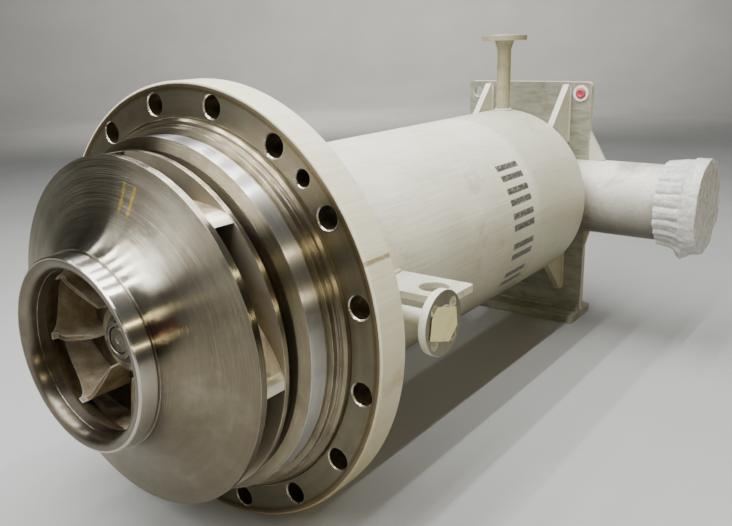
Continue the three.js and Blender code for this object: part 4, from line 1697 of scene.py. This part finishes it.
def small_flange(name: str, line: Line, face: float, radius: float, bolt_circle: float,
                 pipe: float) -> Piece:
    """Turns a small pipe flange with a raised face and a hub behind it, and drills its four holes.

    Args:
        name: The piece's name.
        line: The pipe's line.
        face: The station of the raised face.
        radius: The flange's radius.
        bolt_circle: The radius that the holes are on.
        pipe: The pipe's radius.

    Returns:
        The flange.
    """
    thickness, raised, hole, hub = 14, 1.6, 8, 20
    back, rim = face - thickness, face - raised
    seat = bolt_circle - hole - 0.5
    flange = Bench.turned(name, line, rounded([
        (back - hub, 0), (back - hub, pipe + 0.5), (back, pipe + 7), (back, radius), (rim, radius),
        (rim, seat), (face, seat - 1), (face, 0)], 1.2), PIPE_STEPS)
    first = Bench.drill(line.parallel(0, bolt_circle, math.radians(45)), back, rim, hole, 0.8)
    Bench.combine(flange, Bench.repeated(first, line, 4))
    return flange


@dataclass
class SmallConnections(Assembly):
    """The small nozzle beside the flange, the vent on the barrel's rear end, and the side lug."""

    small_face: float = 368
    small_radius: float = 49
    small_circle: float = 35
    small_pipe: float = 13.5
    small_weld: float = 226
    small_bead: float = 3.5
    vent_face: float = 398
    vent_radius: float = 54
    vent_circle: float = 39.7
    vent_pipe: float = 16.7
    vent_weld: float = 217.5
    vent_bead: float = 4
    pipe_root: float = 170
    stem_drop: float = 30
    tape_outline: tuple[Point, ...] = ((109, 41), (158, 27), (161, -2), (138, -20), (88, -3), (93, 27))
    lug_start: float = 155
    lug_length: float = 86
    lug_reach: float = 351
    lug_root: float = 190
    lug_top: float = 35
    lug_thickness: float = 12
    lug_hole: float = 23
    lug_hole_reach: float = 306
    lug_weld_reach: Point = (221, 217)
    lug_bead: float = 4

    def build(self) -> None:
        """Builds the three of them."""
        self._small_nozzle()
        self._vent()
        self._lug()

    def _stem(self, name: str, line: Line, radius: float, end: float, node: str,
              finish: Finish) -> None:
        """Turns a small nozzle's pipe.

        Args:
            name: The piece's name.
            line: The pipe's line.
            radius: The pipe's radius.
            end: The station of its outer end.
            node: The node that it stands for.
            finish: Its finish.
        """
        pipe = Bench.turned(name, line, section(self.pipe_root, end, radius), SMALL_STEPS)
        self._settle(pipe, finish, Slot.CREAM, node)

    def _small_nozzle(self) -> None:
        """Builds the nozzle, its weld and the tape over its face."""
        flange = small_flange("small_flange", SMALL_NOZZLE, self.small_face, self.small_radius,
                              self.small_circle, self.small_pipe)
        self._settle(flange, self.finishes.fittings, Slot.CREAM, "small_nozzle_flange", others=(
            (self.finishes.face, lambda middle, normal: normal.y < -FACING),))
        self._stem("small_pipe", SMALL_NOZZLE, self.small_pipe, self.small_face - self.stem_drop,
                   "small_nozzle_pipe", self.finishes.fittings)
        weld = Bench.bead_ring("small_pipe_weld", SMALL_NOZZLE, self.small_weld, self.small_pipe + 1.5,
                               self.small_bead)
        self._settle(weld, self.finishes.fittings, Slot.CREAM)
        tape = Bench.slab("face_tape", [at(x, -self.small_face + 0.2, z) for x, z in self.tape_outline],
                          Y_AXIS * (-0.6 * MM))
        Bench.ease(tape, 0.2, 2)
        self._settle(tape, self.finishes.tape, Slot.PALE)

    def _vent(self) -> None:
        """Builds the vent and its weld."""
        flange = small_flange("vent_cap_flange", VENT, self.vent_face, self.vent_radius,
                              self.vent_circle, self.vent_pipe)
        self._settle(flange, self.finishes.vent, Slot.CREAM, "vent_flange")
        self._stem("vent_stem", VENT, self.vent_pipe, self.vent_face - self.stem_drop, "vent_pipe",
                   self.finishes.vent)
        weld = Bench.bead_ring("vent_weld", VENT, self.vent_weld, self.vent_pipe + 1.5, self.vent_bead)
        self._settle(weld, self.finishes.fittings, Slot.CREAM)

    def _lug(self) -> None:
        """Cuts the side lug and its hole, and lays its welds."""
        end = self.lug_start + self.lug_length
        bottom = self.lug_top - self.lug_thickness
        corners = rounded([(self.lug_start, -self.lug_reach), (end, -self.lug_reach),
                           (end, -self.lug_root), (self.lug_start, -self.lug_root)], 6, 4)
        lug = Bench.slab("side_plate_lug", [at(x, y, bottom) for x, y in corners],
                         Z_AXIS * (self.lug_thickness * MM))
        middle = Line(at((self.lug_start + end) / 2, -self.lug_hole_reach, 0), Z_AXIS, X_AXIS)
        Bench.combine(lug, [Bench.drill(middle, bottom, self.lug_top, self.lug_hole, 1.0)])
        Bench.ease(lug, 1.2)
        self._settle(lug, self.finishes.fittings, Slot.CREAM, "side_lug")
        first, last = self.lug_weld_reach
        runs = [Bench.bead_run("run", at(self.lug_start + 6, -first, z), at(end - 6, -last, z),
                               self.lug_bead) for z in (bottom - 1, self.lug_top + 1)]
        self._settle(Bench.joined(runs, "lug_welds"), self.finishes.fittings, Slot.CREAM)


@dataclass
class Impeller(Assembly):
    """The closed impeller with its vanes, wear ring, nut and shaft."""

    body: ClassVar[Body] = Body.ROTOR
    rim: float = 261
    front_rim: float = -134
    front_thickness: float = 11
    back_rim: float = -90
    back_thickness: float = 8
    eye_inner: float = 120
    eye_outer: float = 139.5
    lip: float = -224
    lip_width: float = 1.5
    lip_bevel: float = 2
    mouth_depth: float = 16
    seat: float = -205
    seat_radius: float = 130
    shoulder: float = -196
    throat: float = -192
    neck_radius: float = 143.5
    hub_front: float = -144
    hub_radius: float = 50
    hub_back_length: float = 12
    hub_back_radius: float = 60
    hub_bore: float = 26.3
    vane_count: int = 7
    vane_thickness: float = 7
    edge_share: float = 0.35
    thinning: float = 45
    vane_start_radius: float = 58
    vane_root: float = 53
    vane_start: float = -153
    vane_eye: float = -176
    spiral: float = 26
    bend_outer: float = 130
    bend_inner: float = 100
    tip_angle: float = -6
    shaft_radius: float = 35
    thread_radius: float = 20
    shaft_end: float = -154
    shaft_back: float = 39.7
    nut_front: float = -156
    nut_radius: float = 29
    nut_slots: int = 4
    slot_depth: float = 3
    slot_width: float = 6
    slot_length: float = 4
    washer_radius: float = 38
    washer_thickness: float = 2.5
    front_inner: list[Point] = field(init=False)
    front_outer: list[Point] = field(init=False)
    back_front: list[Point] = field(init=False)

    def __post_init__(self) -> None:
        """Draws the outlines that the shrouds and the vanes share."""
        inner_rim = self.front_rim + self.front_thickness
        self.front_inner = curve((-190, self.eye_inner), (-138, 128), (inner_rim, self.rim))
        self.front_outer = curve((-192, self.neck_radius), (-150, 150), (self.front_rim, self.rim))
        self.back_front = curve((self.hub_front, self.hub_radius), (-100, 56),
                                (self.back_rim, self.rim))

    def build(self) -> None:
        """Builds every turning piece."""
        self._front_shroud()
        self._wear_ring()
        self._back_shroud()
        self._vanes()
        self._shaft_end()

    def _front_shroud(self) -> None:
        """Turns the front shroud."""
        shroud = Bench.turned("front_shroud", SHAFT, rounded([
            (self.seat, self.eye_inner), *self.front_inner, *reversed(self.front_outer),
            (self.shoulder, self.neck_radius), (self.shoulder, self.seat_radius),
            (self.seat, self.seat_radius)], 1.0))

        def inside(middle: Vector, normal: Vector) -> bool:
            """Passes the faces that look into the passages."""
            _, radius = SHAFT.place(middle)
            return (normal.x > 0.35 and radius < self.rim - 1) or normal.dot(outward(middle)) < -0.35

        def in_throat(middle: Vector, normal: Vector) -> bool:
            """Passes the machined bore in front of the passages."""
            return inside(middle, normal) and SHAFT.place(middle)[0] < self.throat

        self._settle(shroud, self.finishes.shroud, Slot.CAST, "impeller_front_shroud", others=(
            (self.finishes.inside, inside), (self.finishes.eye_bore, in_throat)))

    def _wear_ring(self) -> None:
        """Turns the wear ring on the shroud's neck, with its rounded mouth."""
        back, seat = self.shoulder - self.gap, self.seat - self.gap
        bore = self.seat_radius + self.gap
        lip_outer = self.eye_outer - self.lip_bevel
        lip_inner = lip_outer - self.lip_width
        mouth = curve((self.lip + self.mouth_depth, self.eye_inner), (self.lip, self.eye_inner),
                      (self.lip, lip_inner), 12)
        ring = Bench.turned("eye_wear_ring", SHAFT, rounded([
            *mouth, (self.lip, lip_outer), (self.lip + self.lip_bevel, self.eye_outer),
            (back, self.eye_outer), (back, bore), (seat, bore), (seat, self.eye_inner)], 0.6))
        self._settle(ring, self.finishes.ring, Slot.POLISHED, "impeller_wear_ring", others=(
            (self.finishes.eye_bore, zone(radii=under(lip_inner - 1))),))

    def _back_shroud(self) -> None:
        """Turns the back shroud with its hub."""
        back = self.back_rim + self.back_thickness
        hub_back = back + self.hub_back_length
        shroud = Bench.turned("back_shroud", SHAFT, rounded([
            (self.hub_front, self.hub_bore), *self.back_front, (back, self.rim),
            (back, self.hub_back_radius), (hub_back, self.hub_back_radius),
            (hub_back, self.hub_bore)], 1.0))
        towards_vanes = zone(under(self.back_rim), (self.hub_radius, self.rim - 1), under(-0.1))
        self._settle(shroud, self.finishes.cover, Slot.CAST, "impeller_back_shroud", "impeller_hub",
                     others=((self.finishes.disc, towards_vanes),))

    def _passage(self) -> Piece:
        """Makes the space between the shrouds that the vanes fill.

        Returns:
            The space, as a tool.
        """
        tip = self.rim - 1
        inner = [(s + self.gap, r - self.gap) for s, r in self.front_inner[1:-1]]
        hub = [(s - self.gap, r + self.gap) for s, r in reversed(self.back_front)
               if self.vane_root < r < tip]
        return Bench.turned("passage", SHAFT, [
            (self.vane_start, self.vane_start_radius), (self.vane_eye, self.eye_inner - self.gap),
            *inner, (self.front_rim + self.front_thickness + self.gap, tip),
            (self.back_rim - self.gap, tip), *hub])

    def _vane_sweep(self, radius: float) -> Point:
        """Gives how far a vane has swept back at a radius, and how fast that grows inwards.

        Args:
            radius: The radius, in millimetres.

        Returns:
            The sweep, in radians, and its rate, in radians for a millimetre.
        """
        pitch = math.tan(math.radians(self.spiral))
        if radius >= self.bend_outer:
            return math.log(self.rim / radius) / pitch, 1 / pitch / radius
        span = self.bend_outer - self.bend_inner
        share = max(0.0, radius - self.bend_inner) / span
        at_bend = math.log(self.rim / self.bend_outer) / pitch
        bend_rate = 1 / pitch / self.bend_outer
        return at_bend + bend_rate * span * (1 - share ** 3) / 3, bend_rate * share ** 2

    def _vane_outline(self) -> list[Vector]:
        """Draws a vane's section across the shaft, swept back and thinned towards its leading edge.

        Returns:
            The corners, in metres.
        """
        steps = 40
        outer, inner = self.rim + 5, self.vane_root + 1
        lower, upper = [], []
        for k in range(steps + 1):
            radius = outer + (inner - outer) * k / steps
            sweep, rate = self._vane_sweep(radius)
            angle = math.radians(self.tip_angle) + sweep
            thin = min(1.0, self.edge_share + (radius - inner) / self.thinning)
            half = self.vane_thickness / 2 * thin / radius * math.hypot(1, radius * rate)
            lower.append((radius, angle - half))
            upper.append((radius, angle + half))
        outline = [*lower, *reversed(upper)]
        return [SHAFT.point(self.lip, radius, math.pi / 2 - angle) for radius, angle in outline]

    def _vanes(self) -> None:
        """Cuts one vane out of the passage and copies it round."""
        length = self.back_rim + 30 - self.lip
        vane = Bench.slab("vane_1", self._vane_outline(), X_AXIS * (length * MM))
        Bench.combine(vane, [self._passage()], "INTERSECT")
        Bench.ease(vane, 1.1, 2)

        def at_tip(middle: Vector, normal: Vector) -> bool:
            """Passes the turned face at the impeller's rim."""
            return SHAFT.place(middle)[1] > self.rim - 4 and normal.dot(outward(middle)) > FACING

        at_edge = zone(under(self.throat + 60), facing=under(-0.4))
        Bench.dress(vane, self.finishes.passage, (self.finishes.tip, at_tip),
                    (self.finishes.inside, at_edge))
        for number, piece in enumerate(Bench.repeated(vane, SHAFT, self.vane_count, -1), start=1):
            piece.name = piece.data.name = f"vane_{number}"
            Bench.deliver(piece, self.body, Slot.CAST, f"impeller_vane_{number}")

    def _shaft_end(self) -> None:
        """Turns the shaft, the lock washer and the nut."""
        hub_front = self.hub_front - self.gap
        shoulder = self.back_rim + self.back_thickness + self.hub_back_length + self.gap
        neck = self.hub_bore - self.gap
        shaft = Bench.turned("pump_shaft", SHAFT, rounded([
            (self.shaft_end + 5, 0), (self.shaft_end, 6), (self.shaft_end, self.thread_radius - 2),
            (self.shaft_end + 2, self.thread_radius), (hub_front, self.thread_radius),
            (hub_front, neck), (shoulder, neck), (shoulder, self.shaft_radius),
            (self.shaft_back, self.shaft_radius), (self.shaft_back, 0)], 0.6), PIPE_STEPS)
        self._settle(shaft, self.finishes.ring, Slot.POLISHED, "shaft", others=(
            (self.finishes.nut, zone(under(hub_front))),))
        back = hub_front - self.gap
        front = back - self.washer_thickness
        bore = self.thread_radius + self.gap
        washer = Bench.turned("lock_washer", SHAFT, rounded(
            section(front, back, self.washer_radius, bore), 0.8), PIPE_STEPS)
        self._settle(washer, self.finishes.nut, Slot.MACHINED, "impeller_washer")
        self._nut(front - self.gap, bore)

    def _nut(self, back: float, bore: float) -> None:
        """Turns the round nut and cuts its spanner slots.

        Args:
            back: The station of the nut's back.
            bore: The radius of its bore.
        """
        nut = Bench.turned("shaft_nut", SHAFT, rounded([
            (self.nut_front, bore + 1.2), (self.nut_front, self.nut_radius - 1.5),
            (self.nut_front + 1.5, self.nut_radius), (back, self.nut_radius), (back, bore),
            (self.nut_front + 1.2, bore)], 0.5), PIPE_STEPS)
        low, high = self.nut_radius - self.slot_depth, self.nut_radius + self.slot_depth
        side = self.slot_width / 2
        corners = [(low, -side), (high, -side), (high, side), (low, side)]
        slot = Bench.slab("slot", [at(self.nut_front - 1, y, z) for y, z in corners],
                          X_AXIS * (self.slot_length * MM))
        Bench.combine(nut, Bench.repeated(slot, SHAFT, self.nut_slots))
        self._settle(nut, self.finishes.nut, Slot.POLISHED, "impeller_nut")


@dataclass
class Studio(Assembly):
    """The floor, the soft lights and the camera."""

    lens: float = 37.41
    sensor: float = 36.0
    eye: tuple[float, float, float] = (-1.9034, -0.8902, 0.7526)
    right: tuple[float, float, float] = (0.5986, -0.8005, -0.0280)
    up: tuple[float, float, float] = (0.2447, 0.1496, 0.9580)
    forward: tuple[float, float, float] = (0.7627, 0.5803, -0.2854)

    def build(self) -> None:
        """Sets up the floor, the world, the lights and the camera."""
        self._camera()
        self._floor()
        self._world()
        cool, plain, warm = (0.93, 0.96, 1.0), (1.0, 0.99, 0.96), (1.0, 0.88, 0.56)
        for number, across in enumerate((1.02, 0.47, -0.08, -0.64), start=1):
            self._light(f"top_tube_{number}", (-2.6, across, 2.75), (-2.6, 0, 0.35), (7.0, 0.05), 124,
                        cool)
        self._light("side_tube", (-2.2, -2.4, 2.05), (-2.2, 0, 0.35), (6.0, 0.06), 26, warm)
        self._light("low_tube", (-2.2, -2.8, 0.87), (-2.2, 0, 0.35), (6.0, 0.05), 17, warm)
        self._light("far_tube", (-1.4, 2.0, 2.5), (-1.4, 0, 0.35), (4.0, 0.14), 26, cool)
        self._light("front_panel", (-3.6, 1.4, 1.7), (-1.3, 0, 0.35), (1.8, 1.2), 8, plain)
        self._light("wall_wash", (4.0, 3.0, 2.8), (7.0, 5.4, 0.4), (5.0, 1.2), 330, plain)

    def _camera(self) -> None:
        """Stands the camera where the photograph was taken from."""
        data = bpy.data.cameras.new("camera")
        data.lens = self.lens
        data.sensor_width = self.sensor
        camera = bpy.data.objects.new("camera", data)
        bpy.context.collection.objects.link(camera)
        basis = Matrix((self.right, self.up, -Vector(self.forward))).transposed().to_4x4()
        camera.matrix_world = Matrix.Translation(self.eye) @ basis
        bpy.context.scene.camera = camera

    def _floor(self) -> None:
        """Turns the floor as a wide plate that sweeps up into a wall far away."""
        line = Line(Vector((-0.6, 0, 0)), Z_AXIS, X_AXIS)
        sweep = curve((0, 7000), (0, 9000), (2000, 9000), 12)
        floor = Bench.turned("studio_floor", line, [(0, 0), (0, 3500), *sweep, (5000, 9000)],
                             PIPE_STEPS, closed=False)
        Bench.dress(floor, self.finishes.floor)

    @staticmethod
    def _world() -> None:
        """Fills the room with soft grey light, brighter from above."""
        world = bpy.data.worlds.new("studio")
        world.use_nodes = True
        bpy.context.scene.world = world
        sketch = Sketch(world.node_tree)
        background = world.node_tree.nodes["Background"]
        sky = sketch.node("TexCoord").outputs["Generated"]
        height = sketch.node("SeparateXYZ", {0: sky}).outputs[2]
        level = sketch.spread(height, -0.1, 0.75)
        sketch.feed(background, {"Color": sketch.mix(level, tint(120, 118, 112), tint(216, 219, 222)),
                                 "Strength": 0.28})

    @staticmethod
    def _light(name: str, place: Sequence[float], target: Sequence[float], size: Point, power: float,
               colour: tuple[float, float, float]) -> None:
        """Hangs a soft rectangular light that faces a target.

        Args:
            name: The light's name.
            place: Where it hangs, in metres.
            target: The point that it faces.
            size: Its length, level and square to its aim, and its other side, in metres.
            power: Its power, in watts.
            colour: Its colour.
        """
        data = bpy.data.lights.new(name, "AREA")
        data.shape = "RECTANGLE"
        data.size, data.size_y = size
        data.energy = power
        data.color = colour
        light = bpy.data.objects.new(name, data)
        bpy.context.collection.objects.link(light)
        light.visible_camera = False
        light.location = place
        back = (Vector(place) - Vector(target)).normalized()
        level = X_AXIS if abs(back.x) < 0.8 else Y_AXIS
        side = (level - back * level.dot(back)).normalized()
        light.rotation_euler = Matrix((side, back.cross(side), back)).transposed().to_euler()


def main() -> None:
    """Builds the unit and its surroundings in order."""
    logging.basicConfig(level=logging.INFO, format="%(name)s: %(message)s")
    finishes = Finishes()
    for kind in (Studio, MotorFlange, CasingCover, MotorShell, RearStand, SideNozzle, SmallConnections,
                 Impeller):
        kind(finishes).build()
        LOG.info("%s is done", kind.__name__)


if __name__ == "__main__":
    main()
